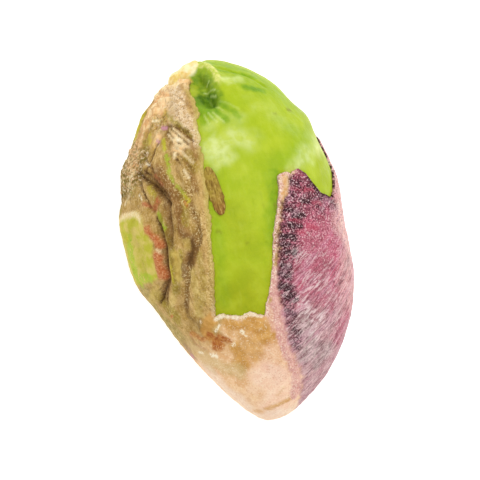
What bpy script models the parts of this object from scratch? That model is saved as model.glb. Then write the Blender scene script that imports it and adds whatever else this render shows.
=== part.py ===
"""A shelled pistachio kernel that lies on its back, with its thin skin torn open on the upper side.

+Y runs along the nut to its blunt end, where the root nub is, -Y to its pointed end, and +Z up.
The origin is on the surface it lies on, under the middle of the nut.
Sizes are in millimetres until the last step, which turns them into metres.
"""

import bmesh
import bpy
import numpy as np

# Driving sizes, mm
LENGTH = 18.5
DRAWN_LENGTH = 18.5
FRONT_RISE = 4.9
BACK_DROP = 4.6
REST_CUT = 0.1
SKIN = 0.2
GAP = 0.05
EDGE_SINK = 0.12
EDGE_RUN = 0.8
FOLD_ROOM = 0.5
FOLD_RUN = 2.0
LEAST_SKIN = 0.12
MM = 0.001 * LENGTH / DRAWN_LENGTH

# Plan outline of the bare nut, counter-clockwise from +X
OUTLINE = (
    (5.26, 0.00), (5.42, 2.19), (5.13, 3.87), (5.00, 5.00), (4.45, 5.90), (3.77, 7.09),
    (2.40, 8.38), (0.95, 9.07), (0.00, 8.93), (-0.90, 8.61), (-1.97, 7.84), (-2.65, 7.24),
    (-3.36, 6.32), (-3.90, 5.57), (-4.60, 4.60), (-4.91, 3.44), (-5.31, 2.36), (-5.40, 1.14),
    (-5.42, 0.09), (-5.30, -0.94), (-4.72, -2.30), (-4.05, -4.05), (-3.09, -6.06),
    (-2.07, -7.74), (-1.48, -8.52), (-0.94, -8.95), (-0.31, -9.01), (0.31, -8.85),
    (1.18, -8.37), (2.08, -7.77), (3.15, -6.76), (3.95, -5.64), (4.90, -3.43), (5.13, -1.57),
)

# The front tear in the skin, counter-clockwise seen from above. Each stretch starts with the
# heading, in degrees, in which the skin runs away from the tear at the stretch's first point.
LEFT_EDGE = (148, (
    (-0.39, 7.74), (-0.23, 7.17), (-0.24, 6.54), (-0.43, 6.07), (-0.42, 5.33), (-0.57, 4.58),
    (-0.68, 3.82), (-0.78, 2.79), (-0.95, 2.03), (-1.10, 1.02), (-1.36, -0.21), (-1.68, -1.69),
    (-1.91, -2.68),
))
LOWER_EDGE = (222, (
    (-2.09, -3.42), (-1.76, -3.38), (-1.46, -3.43), (-1.14, -3.60), (-0.84, -3.69),
    (-0.56, -3.63), (-0.36, -3.57), (-0.07, -3.76),
))
RIGHT_EDGE = (273, (
    (0.27, -3.96), (0.47, -3.49), (0.68, -3.13), (0.91, -2.66), (1.18, -2.05), (1.41, -1.22),
    (1.63, -0.60), (1.98, 0.36), (2.33, 1.16), (2.58, 1.88),
))
HORN_TIP = (283, (
    (2.70, 2.53), (2.99, 2.61), (3.31, 2.44), (3.49, 2.52),
))
HORN_SIDE = (291, (
    (3.70, 2.52), (3.95, 2.29), (4.17, 1.75), (4.43, 1.16), (4.68, 0.93),
))
SIDE_TOOTH = (302, (
    (5.01, 0.79), (5.35, 1.64), (5.58, 2.53), (5.52, 3.08), (5.44, 3.47),
))
OVER_THE_SIDE = (345, (
    (5.33, 3.99), (6.00, 5.36), (5.74, 6.84), (4.78, 8.28),
))
BEHIND_THE_TOP = (65, (
    (2.73, 10.20), (0.96, 10.90), (-0.90, 10.30), (-1.72, 9.20),
))
NUB_SIDE = (122, (
    (-1.50, 8.58), (-1.30, 8.30), (-1.02, 8.12), (-0.62, 8.19),
))
NOTCH_SIDE = (140, (
    (-0.22, 8.26), (-0.29, 8.00),
))
TEAR = (LEFT_EDGE, LOWER_EDGE, RIGHT_EDGE, HORN_TIP, HORN_SIDE, SIDE_TOOTH, OVER_THE_SIDE,
        BEHIND_THE_TOP, NUB_SIDE, NOTCH_SIDE)
# Greatest spacing of the skin's columns at its widest line, which is this far from the tear
TEAR_STEP = 0.48
TEAR_REACH = 5.0
BELLY_TEAR = 1.68
BELLY_WAVES = ((3, 0.02, 0.4), (7, 0.012, 2.0), (11, 0.008, 5.1))

# Folds of the dried skin: plan path, height or depth, width
SKIN_FOLDS = (
    (((-3.66, 4.64), (-2.93, 3.07), (-2.79, 2.35), (-3.13, 0.73), (-3.81, -0.95), (-4.40, -2.15)),
     -0.42, 0.42),
    (((-1.25, 5.56), (-1.48, 3.78), (-1.87, 1.78), (-2.33, -0.30), (-3.07, -1.97), (-3.49, -3.56)),
     -0.24, 0.36),
    (((-3.18, 2.35), (-3.12, 1.37), (-3.09, -0.09), (-3.47, -1.86)), 0.20, 0.30),
    (((-1.55, 5.40), (-2.10, 3.60), (-2.45, 1.90), (-2.75, 0.20)), 0.14, 0.40),
    (((-5.30, 2.62), (-4.55, 2.60), (-4.25, 2.10)), -0.18, 0.30),
    (((-4.05, 6.30), (-3.30, 5.90), (-2.60, 6.20)), 0.18, 0.45),
    (((-1.90, 7.90), (-1.30, 7.10)), 0.16, 0.50),
    (((-3.00, -4.10), (-2.80, -4.60)), -0.16, 0.40),
    (((-1.43, -7.91), (0.73, -7.35)), -0.12, 0.30),
)
FOLD_PATH = ((-2.60, 7.00), (-3.40, 3.00), (-3.50, -2.50), (-2.80, -4.60))
FOLD_REACH = 1.9

# Forms of the bare flesh: plan path, height or depth, width
FLESH_FORMS = (
    (((0.10, 8.30), (0.30, 7.95), (0.32, 7.50), (0.50, 7.05)), -0.50, 0.40),
    (((0.45, 8.92), (0.91, 8.61), (1.12, 8.16), (1.10, 7.75)), 0.20, 0.28),
    (((3.36, 2.90), (4.13, 3.30), (5.00, 3.95)), 0.12, 0.55),
)
NUB_PATH = ((-0.78, 8.48), (-0.12, 8.74))
NUB_HEIGHT = 0.40
NUB_RADIUS = 0.62

# The small strip of skin left on the flesh: plan path and half widths
SCRAP_PATH = ((-0.52, 3.84), (-0.50, 3.03), (-0.46, 2.22), (-0.38, 1.36))
SCRAP_HALF_WIDTH = 0.24
SCRAP_GAP = 0.03
SCRAP_THICKNESS = 0.16

KERNEL_SEGMENTS = 64
KERNEL_RINGS = 46
BLUNT_END_DETAIL = 0.35
OUTER_STEPS = 32
INNER_STEPS = 10
OUTER_CROWDING = 1.15


def smooth(value):
    """An even rise from 0 to 1 as the value goes from 0 to 1."""
    value = np.clip(value, 0.0, 1.0)
    return value * value * (3.0 - 2.0 * value)


def outline(angle):
    """Radius of the plan outline at each angle, and how fast it changes with the angle.

    A closed curve through the outline's points, cubic between them.
    """
    points = np.array(OUTLINE)
    turn = np.unwrap(np.arctan2(points[:, 1], points[:, 0]))
    radius = np.hypot(points[:, 0], points[:, 1])
    full = 2.0 * np.pi
    turns = np.concatenate(([turn[-1] - full], turn, turn[:2] + full))
    radii = np.concatenate(([radius[-1]], radius, radius[:2]))
    slopes = (radii[2:] - radii[:-2]) / (turns[2:] - turns[:-2])
    turns, radii = turns[1:-1], radii[1:-1]
    angle = np.mod(angle - turns[0], full) + turns[0]
    left = np.clip(np.searchsorted(turns, angle, side="right") - 1, 0, len(turns) - 2)
    span = turns[left + 1] - turns[left]
    t = (angle - turns[left]) / span
    rise = radii[left + 1] - radii[left]
    start, end = slopes[left] * span, slopes[left + 1] * span
    a, b = start + end - 2.0 * rise, 3.0 * rise - 2.0 * start - end
    return ((a * t + b) * t + start) * t + radii[left], ((3.0 * a * t + 2.0 * b) * t + start) / span


def on_body(flat):
    """Points and outward directions of the bare nut under points of the flattened map.

    The map is the nut's surface rolled flat from the middle of its upper side: the plan outline is
    the widest line round the nut, and twice as far out is the middle of its back.
    """
    angle = np.arctan2(flat[:, 1], flat[:, 0])
    radius, change = outline(angle)
    tilt = (1.0 - np.hypot(flat[:, 0], flat[:, 1]) / radius) * np.pi / 2.0
    height = np.where(tilt > 0.0, FRONT_RISE, BACK_DROP)
    wide, high = np.cos(tilt), np.sin(tilt)
    cos, sin = np.cos(angle), np.sin(angle)
    point = np.stack((radius * wide * cos, radius * wide * sin, height * high), axis=1)
    lean = change / radius
    out = np.stack((wide / radius * (cos + lean * sin), wide / radius * (sin - lean * cos),
                    high / height), axis=1)
    return point, out / np.linalg.norm(out, axis=1, keepdims=True)


def to_flat(plan):
    """Where plan points lie on the flattened map. Points outside the outline are on the back."""
    plan = np.array(plan, float)
    radius = outline(np.arctan2(plan[:, 1], plan[:, 0]))[0]
    reach = np.hypot(plan[:, 0], plan[:, 1])
    share = np.arcsin(np.clip(reach / radius, 0.0, 1.0)) * 2.0 / np.pi * radius
    flat = np.where(reach < radius, share, reach)
    return plan * (flat / np.maximum(reach, 1e-9))[:, None]


def lifted(plan):
    """Points of the bare nut under plan points."""
    return on_body(to_flat(plan))[0]


def distance(points, path):
    """Least distance from each point to a path of straight pieces."""
    start, step = path[:-1], np.diff(path, axis=0)
    away = points[:, None] - start
    along = np.clip((away * step).sum(2) / (step * step).sum(1), 0.0, 1.0)
    return np.linalg.norm(away - along[:, :, None] * step, axis=2).min(axis=1)


def inside(points, loop):
    """Whether each point of the map is inside a closed loop: it is if a line from it to one side
    crosses the loop an odd number of times."""
    x, y = points[:, :1], points[:, 1:]
    ax, ay = loop[:, 0], loop[:, 1]
    bx, by = np.roll(ax, -1), np.roll(ay, -1)
    crosses = (ay > y) != (by > y)
    reach = ax + (y - ay) * (bx - ax) / np.where(by == ay, 1.0, by - ay)
    return (crosses & (x < reach)).sum(axis=1) % 2 == 1


def front_tear():
    """The front tear on the flattened map, and the heading of the skin at each of its points."""
    points = to_flat([point for _, stretch in TEAR for point in stretch])
    ring = np.concatenate((points, points[:1]))
    steps = np.linalg.norm(np.diff(ring, axis=0), axis=1)
    walked = np.concatenate(([0.0], np.cumsum(steps)))
    firsts = np.cumsum([0] + [len(stretch) for _, stretch in TEAR])
    headings = np.unwrap(np.radians([heading for heading, _ in TEAR] + [TEAR[0][0]]))
    headings[-1] = headings[0] + 2.0 * np.pi
    turns = np.diff(np.interp(walked, walked[firsts], headings))
    counts = np.maximum(np.rint(np.hypot(steps, TEAR_REACH * turns) / TEAR_STEP), 1).astype(int)
    marks = np.concatenate([
        np.linspace(a, b, count, endpoint=False)
        for a, b, count in zip(walked[:-1], walked[1:], counts)
    ])
    loop = np.stack([np.interp(marks, walked, ring[:, k]) for k in (0, 1)], axis=1)
    return loop, np.interp(marks, walked[firsts], headings)


def belly_reach(angle):
    """How far out on the map the tear on the nut's back lies, a slightly wavy outline."""
    waves = sum(size * np.sin(count * angle + shift) for count, size, shift in BELLY_WAVES)
    return (BELLY_TEAR + waves) * outline(angle)[0]


def belly_tear(loop, headings):
    """The far end of the skin's run from each point of the front tear, straight on the map."""
    way = np.stack((np.cos(headings), np.sin(headings)), axis=1)
    near, far = np.zeros(len(loop)), np.full(len(loop), 40.0)
    for _ in range(40):
        middle = (near + far) / 2.0
        end = loop + way * middle[:, None]
        short = np.hypot(end[:, 0], end[:, 1]) < belly_reach(np.arctan2(end[:, 1], end[:, 0]))
        near, far = np.where(short, middle, near), np.where(short, far, middle)
    return loop + way * near[:, None]


def forms(points, table):
    """Sum of soft ridges and furrows: each falls off from its path as a bell curve."""
    total = np.zeros(len(points))
    for path, height, width in table:
        total += height * np.exp(-((distance(points, lifted(path)) / width) ** 2))
    return total


def fold_room(points):
    """How much deeper the flesh lies under the deeply folded side of the skin."""
    return FOLD_ROOM * np.exp(-((distance(points, lifted(FOLD_PATH)) / FOLD_REACH) ** 2))


def placed(points, out, height):
    """Points raised from the bare nut, and moved so that its resting flat is at height 0."""
    return points + out * height[:, None] + (0.0, 0.0, BACK_DROP - REST_CUT)


def kernel_points(directions, loop, belly):
    """Surface of the flesh in each direction from the nut's middle.

    Bare, it carries its own forms. Under the skin it lies a little deeper.
    """
    tilt = np.arcsin(np.clip(directions[:, 2], -1.0, 1.0))
    angle = np.arctan2(directions[:, 1], directions[:, 0])
    reach = (1.0 - tilt * 2.0 / np.pi) * outline(angle)[0]
    flat = np.stack((reach * np.cos(angle), reach * np.sin(angle)), axis=1)
    points, out = on_body(flat)
    bare = inside(flat, loop) | (reach > belly_reach(angle))
    edges = [np.concatenate((on_body(ring)[0], on_body(ring[:1])[0])) for ring in (loop, belly)]
    cover = np.where(bare, 0.0, np.minimum(*[distance(points, edge) for edge in edges]))
    hidden = smooth(cover / EDGE_RUN)
    height = forms(points, FLESH_FORMS)
    nub = distance(points, lifted(NUB_PATH))
    height += NUB_HEIGHT * np.clip(1.0 - (nub / NUB_RADIUS) ** 2, 0.0, None)
    height *= 1.0 - hidden
    height -= EDGE_SINK * hidden + fold_room(points) * smooth(cover / FOLD_RUN)
    return placed(points, out, height)


def finish(bm, name, color, roughness):
    """Turn a bmesh in millimetres into a smooth-shaded object in metres with its own material."""
    bmesh.ops.recalc_face_normals(bm, faces=bm.faces)
    if bm.calc_volume(signed=True) < 0.0:
        bmesh.ops.reverse_faces(bm, faces=bm.faces)
    bmesh.ops.scale(bm, vec=(MM, MM, MM), verts=bm.verts)
    mesh = bpy.data.meshes.new(name)
    bm.to_mesh(mesh)
    bm.free()
    mesh.shade_smooth()
    material = bpy.data.materials.new(name)
    material.use_nodes = True
    shader = material.node_tree.nodes["Principled BSDF"]
    shader.inputs["Base Color"].default_value = (*color, 1.0)
    shader.inputs["Roughness"].default_value = roughness
    shader.inputs["Metallic"].default_value = 0.0
    mesh.materials.append(material)
    part = bpy.data.objects.new(name, mesh)
    bpy.context.scene.collection.objects.link(part)
    return part


def kernel(loop, belly):
    """The green flesh, one solid with its nub: a UV sphere with its poles at the nut's two ends,
    drawn out to the nut's form and cut flat where it rests."""
    bm = bmesh.new()
    bmesh.ops.create_uvsphere(bm, u_segments=KERNEL_SEGMENTS, v_segments=KERNEL_RINGS, radius=1.0)
    balls = np.array([vert.co[:] for vert in bm.verts])
    turn = np.arccos(np.clip(balls[:, 2], -1.0, 1.0))
    turn -= BLUNT_END_DETAIL * np.sin(turn)
    side = balls[:, :2] / np.maximum(np.linalg.norm(balls[:, :2], axis=1, keepdims=True), 1e-9)
    directions = np.stack((side[:, 0] * np.sin(turn), np.cos(turn), side[:, 1] * np.sin(turn)), axis=1)
    for vert, point in zip(bm.verts, kernel_points(directions, loop, belly)):
        vert.co = point
    cut = bmesh.ops.bisect_plane(
        bm, geom=bm.verts[:] + bm.edges[:] + bm.faces[:], dist=1e-4,
        plane_co=(0.0, 0.0, 0.0), plane_no=(0.0, 0.0, -1.0), clear_outer=True,
    )
    rim = [item for item in cut["geom_cut"] if isinstance(item, bmesh.types.BMEdge)]
    bmesh.ops.holes_fill(bm, edges=rim, sides=len(rim))
    return finish(bm, "kernel", (0.32, 0.47, 0.02), 0.45)


def seed_coat(loop, belly):
    """The skin, one torn sheet: a flat grid laid from the front tear round to the tear on the back
    and inside again, with its two pairs of opposite sides joined."""
    outer = (np.arange(OUTER_STEPS + 1) / OUTER_STEPS) ** OUTER_CROWDING
    inner = np.linspace(1.0, 0.0, INNER_STEPS + 1)
    shares = np.concatenate((outer, inner))
    is_outer = np.arange(len(shares)) <= OUTER_STEPS
    around, across = len(loop), len(shares)
    bm = bmesh.new()
    bmesh.ops.create_grid(bm, x_segments=around, y_segments=across, size=1.0)
    places = np.array([vert.co[:] for vert in bm.verts])
    column = np.rint((places[:, 0] + 1.0) / 2.0 * around).astype(int) % around
    row = np.rint((places[:, 1] + 1.0) / 2.0 * across).astype(int) % across
    share = shares[row][:, None]
    flat = loop[column] * (1.0 - share) + belly[column] * share
    points, out = on_body(flat)
    edges = [np.concatenate((on_body(ring)[0], on_body(ring[:1])[0])) for ring in (loop, belly)]
    cover = np.minimum(*[distance(points, edge) for edge in edges])
    below = GAP - fold_room(points) * smooth(cover / FOLD_RUN)
    folds = forms(points, SKIN_FOLDS) * smooth(cover / EDGE_RUN)
    above = np.maximum(GAP + SKIN + folds, below + LEAST_SKIN)
    for vert, point in zip(bm.verts, placed(points, out, np.where(is_outer[row], above, below))):
        vert.co = point
    bmesh.ops.remove_doubles(bm, verts=bm.verts, dist=1e-5)
    return finish(bm, "seed_coat", (0.33, 0.16, 0.11), 0.75)


def skin_scrap():
    """The small strip of skin stuck on the flesh: a UV sphere drawn out along the strip's path and
    pressed flat onto the nut."""
    bm = bmesh.new()
    bmesh.ops.create_uvsphere(bm, u_segments=20, v_segments=14, radius=1.0)
    balls = np.array([vert.co[:] for vert in bm.verts])
    path = np.array(SCRAP_PATH)
    walked = np.concatenate(([0.0], np.cumsum(np.linalg.norm(np.diff(path, axis=0), axis=1))))
    along = (1.0 - balls[:, 2]) / 2.0 * walked[-1]
    plan = np.stack([np.interp(along, walked, path[:, k]) for k in (0, 1)], axis=1)
    full = np.sqrt(np.clip(1.0 - balls[:, 2] ** 4, 0.0, 1.0))
    round_now = np.maximum(np.sqrt(1.0 - np.clip(balls[:, 2] ** 2, 0.0, 1.0)), 1e-9)
    plan[:, 0] += balls[:, 0] / round_now * full * SCRAP_HALF_WIDTH
    points, out = on_body(to_flat(plan))
    half = SCRAP_THICKNESS / 2.0
    height = SCRAP_GAP + half + half * balls[:, 1] / round_now * full
    for vert, point in zip(bm.verts, placed(points, out, height)):
        vert.co = point
    return finish(bm, "skin_scrap", (0.24, 0.15, 0.06), 0.7)


for old in list(bpy.data.objects):
    bpy.data.objects.remove(old, do_unlink=True)

front_loop, front_headings = front_tear()
belly_loop = belly_tear(front_loop, front_headings)
kernel(front_loop, belly_loop)
seed_coat(front_loop, belly_loop)
skin_scrap()
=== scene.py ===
"""A shelled pistachio kernel on its back: green flesh in a torn, dried skin, and a scrap of skin.

The nut's lengths are in millimetres until its meshes are made. The meshes, the lamp and the
camera are in metres.
"""

import bpy
import numpy as np
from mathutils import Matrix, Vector


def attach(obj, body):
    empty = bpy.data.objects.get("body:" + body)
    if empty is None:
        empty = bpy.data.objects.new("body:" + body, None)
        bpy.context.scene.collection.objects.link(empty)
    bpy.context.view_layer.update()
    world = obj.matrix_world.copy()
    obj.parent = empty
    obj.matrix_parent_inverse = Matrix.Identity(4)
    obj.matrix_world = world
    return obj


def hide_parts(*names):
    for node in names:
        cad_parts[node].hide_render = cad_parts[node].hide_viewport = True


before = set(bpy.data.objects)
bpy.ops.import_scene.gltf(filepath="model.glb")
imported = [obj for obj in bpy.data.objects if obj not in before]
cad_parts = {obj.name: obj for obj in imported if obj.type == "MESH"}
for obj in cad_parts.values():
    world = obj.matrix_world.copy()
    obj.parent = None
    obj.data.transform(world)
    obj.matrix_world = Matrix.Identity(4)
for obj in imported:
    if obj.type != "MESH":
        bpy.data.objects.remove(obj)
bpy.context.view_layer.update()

# The green flesh: both seed leaves and the root nub at the blunt end, grown as one body.
# It is smooth and a little waxy where the skin is gone, with a hollow beside the nub whose shade is also
# painted in.
# It lies on a small flat on its back, and the skin is wrapped round it.

# A millimetre in metres, how far the nut rises and drops from its widest line, how much of its back
# the flat takes off, and its outline from above.
MM = 0.001
FRONT_RISE = 4.9
BACK_DROP = 4.6
REST_CUT = 0.1
PLAN_OUTLINE = np.array((
    (5.26, 0.00), (5.42, 2.19), (5.13, 3.87), (5.00, 5.00), (4.45, 5.90), (3.77, 7.09),
    (2.40, 8.38), (0.95, 9.07), (0.00, 8.93), (-0.90, 8.61), (-1.97, 7.84), (-2.65, 7.24),
    (-3.36, 6.32), (-3.90, 5.57), (-4.60, 4.60), (-4.91, 3.44), (-5.31, 2.36), (-5.40, 1.14),
    (-5.42, 0.09), (-5.30, -0.94), (-4.72, -2.30), (-4.05, -4.05), (-3.09, -6.06),
    (-2.07, -7.74), (-1.48, -8.52), (-0.94, -8.95), (-0.31, -9.01), (0.31, -8.85),
    (1.18, -8.37), (2.08, -7.77), (3.15, -6.76), (3.95, -5.64), (4.90, -3.43), (5.13, -1.57),
))


def smooth(value):
    """A rise from 0 to 1, level at both ends, as the value goes from 0 to 1: three times its
    square less twice its cube."""
    value = np.clip(value, 0.0, 1.0)
    return value * value * (3.0 - 2.0 * value)


def outline(angle):
    """Radius of the plan outline at each angle and how fast it changes: a closed curve through the
    outline's points, cubic between them, whose slope at a point is that between its neighbours."""
    turn = np.unwrap(np.arctan2(PLAN_OUTLINE[:, 1], PLAN_OUTLINE[:, 0]))
    radius = np.hypot(PLAN_OUTLINE[:, 0], PLAN_OUTLINE[:, 1])
    full = 2.0 * np.pi
    turns = np.concatenate(([turn[-1] - full], turn, turn[:2] + full))
    radii = np.concatenate(([radius[-1]], radius, radius[:2]))
    slopes = (radii[2:] - radii[:-2]) / (turns[2:] - turns[:-2])
    turns, radii = turns[1:-1], radii[1:-1]
    angle = np.mod(angle - turns[0], full) + turns[0]
    left = np.clip(np.searchsorted(turns, angle, side="right") - 1, 0, len(turns) - 2)
    span = turns[left + 1] - turns[left]
    t = (angle - turns[left]) / span
    rise = radii[left + 1] - radii[left]
    start, end = slopes[left] * span, slopes[left + 1] * span
    a, b = start + end - 2.0 * rise, 3.0 * rise - 2.0 * start - end
    return ((a * t + b) * t + start) * t + radii[left], ((3.0 * a * t + 2.0 * b) * t + start) / span


def on_body(flat):
    """Points and outward directions of the bare nut under points of its flattened map.

    The map is the surface rolled flat from the middle of the upper side. The plan outline is the
    widest line round the nut, and twice as far out is the middle of its back. Each slice from the
    middle outwards is a quarter of an ellipse, as wide as the outline there.
    """
    angle = np.arctan2(flat[:, 1], flat[:, 0])
    radius, change = outline(angle)
    tilt = (1.0 - np.hypot(flat[:, 0], flat[:, 1]) / radius) * np.pi / 2.0
    height = np.where(tilt > 0.0, FRONT_RISE, BACK_DROP)
    wide, high = np.cos(tilt), np.sin(tilt)
    cos, sin = np.cos(angle), np.sin(angle)
    point = np.stack((radius * wide * cos, radius * wide * sin, height * high), axis=1)
    lean = change / radius
    out = np.stack((wide / radius * (cos + lean * sin), wide / radius * (sin - lean * cos),
                    high / height), axis=1)
    return point, out / np.linalg.norm(out, axis=1, keepdims=True)


def to_flat(plan):
    """Where plan points lie on the flattened map. Inside the outline, the share of the way out to
    it becomes its arcsine as a share of a right angle. Points outside it are on the back."""
    plan = np.array(plan, float)
    radius = outline(np.arctan2(plan[:, 1], plan[:, 0]))[0]
    reach = np.hypot(plan[:, 0], plan[:, 1])
    share = np.arcsin(np.clip(reach / radius, 0.0, 1.0)) * 2.0 / np.pi * radius
    flat = np.where(reach < radius, share, reach)
    return plan * (flat / np.maximum(reach, 1e-9))[:, None]


def distance(points, path):
    """Least distance from each point to a path of straight pieces, piece by piece."""
    least = np.full(len(points), np.inf)
    for start, step in zip(path[:-1], np.diff(path, axis=0)):
        away = points - start
        along = np.clip(away @ step / max(step @ step, 1e-12), 0.0, 1.0)
        least = np.minimum(least, ((away - along[:, None] * step) ** 2).sum(axis=1))
    return np.sqrt(least)


def inside(points, loop):
    """Whether each point of the map is inside a closed loop: a line from it to one side crosses
    the loop an odd number of times."""
    odd = np.zeros(len(points), bool)
    for (ax, ay), (bx, by) in zip(loop, np.roll(loop, -1, axis=0)):
        if ay != by:
            reach = ax + (points[:, 1] - ay) * (bx - ax) / (by - ay)
            odd ^= ((ay > points[:, 1]) != (by > points[:, 1])) & (points[:, 0] < reach)
    return odd


LATTICE = 32


def grain(points, size, seed, layers=1):
    """Soft random lumps of that size, from -1 to 1: random values on a cubic lattice, blended
    smoothly between its corners. Each further layer is half as large and half as strong."""
    total, strength = np.zeros(len(points)), 0.0
    for layer in range(layers):
        table = np.random.default_rng(seed + layer).uniform(-1.0, 1.0, (LATTICE,) * 3)
        place = points / (size / 2 ** layer) + 100.5
        cell = np.floor(place).astype(int)
        t = place - cell
        t = t * t * (3.0 - 2.0 * t)
        value = 0.0
        for corner in np.ndindex(2, 2, 2):
            weight = np.prod(np.where(corner, t, 1.0 - t), axis=1)
            value = value + weight * table[tuple(((cell + corner) % LATTICE).T)]
        total += value / 2 ** layer
        strength += 1.0 / 2 ** layer
    return total / strength * 1.4


def lifted(plan):
    """Points of the bare nut under plan points."""
    return on_body(to_flat(plan))[0]


def beside(points, path, reach):
    """Whether each point lies in the box round the path that reaches that far past it."""
    return ((points > path.min(0) - reach) & (points < path.max(0) + reach)).all(axis=1)


def near(points, path, width, ragged=0.0, seed=1, firm=1.7):
    """1 on and beside a plan path laid on the nut, down to 0 at that width from it, with a ragged
    edge. The firmer, the more of the width is full. Only points near the path are measured."""
    path = lifted(path)
    close = beside(points, path, 1.5 * width)
    away = distance(points[close], path)
    if ragged:
        away = away + ragged * grain(points[close], ragged * 2.5, seed, 2)
    share = np.zeros(len(points))
    share[close] = smooth(firm * (1.0 - away / width))
    return share


def within(points, flat, loop, soft, ragged=0.0, seed=1):
    """1 inside a closed plan loop and 0 outside, over a soft and ragged edge."""
    loop = to_flat(loop)
    away = distance(flat, np.concatenate((loop, loop[:1])))
    away = np.where(inside(flat, loop), away, -away)
    if ragged:
        away = away + ragged * grain(points, ragged * 2.5, seed, 3)
    return smooth(0.5 + away / soft)


def mesh_piece(name, points, faces, masks, flat=None):
    """An object from points in millimetres above the body's middle, with one number per point for
    each mask and, where given, its place on the flattened map as its UV map."""
    mesh = bpy.data.meshes.new(name)
    mesh.vertices.add(len(points))
    mesh.vertices.foreach_set("co", (points * MM).astype(np.float32).ravel())
    mesh.loops.add(faces.size)
    mesh.loops.foreach_set("vertex_index", faces.astype(np.int32).ravel())
    mesh.polygons.add(len(faces))
    mesh.polygons.foreach_set("loop_start", np.arange(0, faces.size, faces.shape[1], dtype=np.int32))
    for mask, values in masks.items():
        layer = mesh.attributes.new(mask, "FLOAT", "POINT")
        layer.data.foreach_set("value", np.asarray(values, np.float32))
    if flat is not None:
        uv = mesh.uv_layers.new(name="flat_map")
        uv.uv.foreach_set("vector", (flat[faces.ravel()] / FLAT_SPAN + 0.5).astype(np.float32).ravel())
    mesh.update()
    mesh.validate()
    mesh.shade_smooth()
    piece = bpy.data.objects.new(name, mesh)
    bpy.context.scene.collection.objects.link(piece)
    return piece


def tone(red, green, blue):
    """A colour as a screen shows it, from 0 to 255, turned into a shader's linear values."""
    share = np.array((red, green, blue)) / 255.0
    return tuple(np.where(share > 0.04045, ((share + 0.055) / 1.055) ** 2.4, share / 12.92)) + (1.0,)


class Finish:
    """A material built up in coats: each coat is laid over the last where its mask says."""

    def __init__(self, name, color, roughness, **settings):
        self.material = bpy.data.materials.new(name)
        self.material.use_nodes = True
        self.tree = self.material.node_tree
        self.shader = self.tree.nodes["Principled BSDF"]
        self.shader.inputs["Roughness"].default_value = roughness
        for socket, value in settings.items():
            self.shader.inputs[socket.replace("_", " ")].default_value = value
        self.place = self.add("TexCoord").outputs["Object"]
        self.top = self.mottled(*color) if isinstance(color[0], tuple) else color

    def add(self, kind, inputs=None, **settings):
        """A node of that kind, with its settings and its inputs, which are values or sockets."""
        node = self.tree.nodes.new("ShaderNode" + kind)
        for name, value in settings.items():
            setattr(node, name, value)
        for name, value in (inputs or {}).items():
            self.put(node.inputs[name], value)
        return node

    def put(self, socket, value):
        """Link a socket to the input, or set the input to a value."""
        if isinstance(value, bpy.types.NodeSocket):
            self.tree.links.new(value, socket)
        else:
            socket.default_value = value

    def lumps(self, size, detail=3.0, place=None, rough=0.55, warp=0.0):
        """Random lumps of that size in millimetres, about 0.5 on average."""
        node = self.add("TexNoise", {
            "Vector": place or self.place, "Scale": 1.0 / (size * (MM if place is None else 1.0)),
            "Detail": detail, "Roughness": rough, "Distortion": warp,
        })
        return node.outputs["Fac"]

    def drawn_out(self, size, detail, squeeze):
        """Random lumps of that size in millimetres, drawn out along the nut: its length is
        squeezed by that share before the noise is read."""
        squeezed = self.add("Mapping", {"Vector": self.place, "Scale": (1.0, squeeze, 1.0)})
        node = self.add("TexNoise", {
            "Vector": squeezed.outputs["Vector"], "Scale": 1.0 / (size * MM), "Detail": detail,
        })
        return node.outputs["Fac"]

    def between(self, value, low, high, start=0.0, end=1.0):
        """The value stretched from low..high to start..end, smoothly, and held there outside it."""
        node = self.add("MapRange", {
            "Value": value, "From Min": low, "From Max": high, "To Min": start, "To Max": end,
        }, interpolation_type="SMOOTHSTEP")
        return node.outputs["Result"]

    def blend(self, share, first, second):
        """The first colour where the share is 0, the second where it is 1."""
        node = self.add("Mix", data_type="RGBA")
        self.put(node.inputs["Factor"], share)
        self.put(node.inputs["A"], first)
        self.put(node.inputs["B"], second)
        return next(out for out in node.outputs if out.type == "RGBA")

    def product(self, first, second, operation="MULTIPLY"):
        """The two values multiplied, or joined by another operation."""
        node = self.add("Math", operation=operation)
        self.put(node.inputs[0], first)
        self.put(node.inputs[1], second)
        return node.outputs[0]

    def mask(self, name):
        """The number that the mesh holds for that mask, from 0 to 1."""
        return self.add("Attribute", attribute_name=name).outputs["Fac"]

    def mottled(self, first, second, size, low=0.35, high=0.65, place=None):
        """Two colours in random patches of that size."""
        return self.blend(self.between(self.lumps(size, place=place), low, high), first, second)

    def coat(self, mask, color, strength=1.0):
        """Lay a colour over the rest where the mask, a name or a socket, says."""
        share = self.mask(mask) if isinstance(mask, str) else mask
        if strength != 1.0:
            share = self.product(share, strength)
        if isinstance(color, tuple) and isinstance(color[0], tuple):
            color = self.mottled(*color)
        self.top = self.blend(share, self.top, color)

    def done(self, height, depth):
        """Join the colour and a bump of that depth, in millimetres, to the shader."""
        self.put(self.shader.inputs["Base Color"], self.top)
        bump = self.add("Bump", {"Height": height, "Strength": 1.0, "Distance": depth * MM})
        self.put(self.shader.inputs["Normal"], bump.outputs["Normal"])
        return self.material


# How the skin lies on the flesh: the map's size, the gap between the two, how deep and how far in
# the torn edge is let in, and the room that the flesh leaves for the folds.
FLAT_SPAN = 34.0
SKIN_GAP = 0.05
EDGE_SINK = 0.12
EDGE_RUN = 0.8
FOLD_ROOM = 0.5
FOLD_RUN = 2.0
FOLD_PATH = ((-2.60, 7.00), (-3.40, 3.00), (-3.50, -2.50), (-2.80, -4.60))
FOLD_REACH = 1.9

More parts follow.
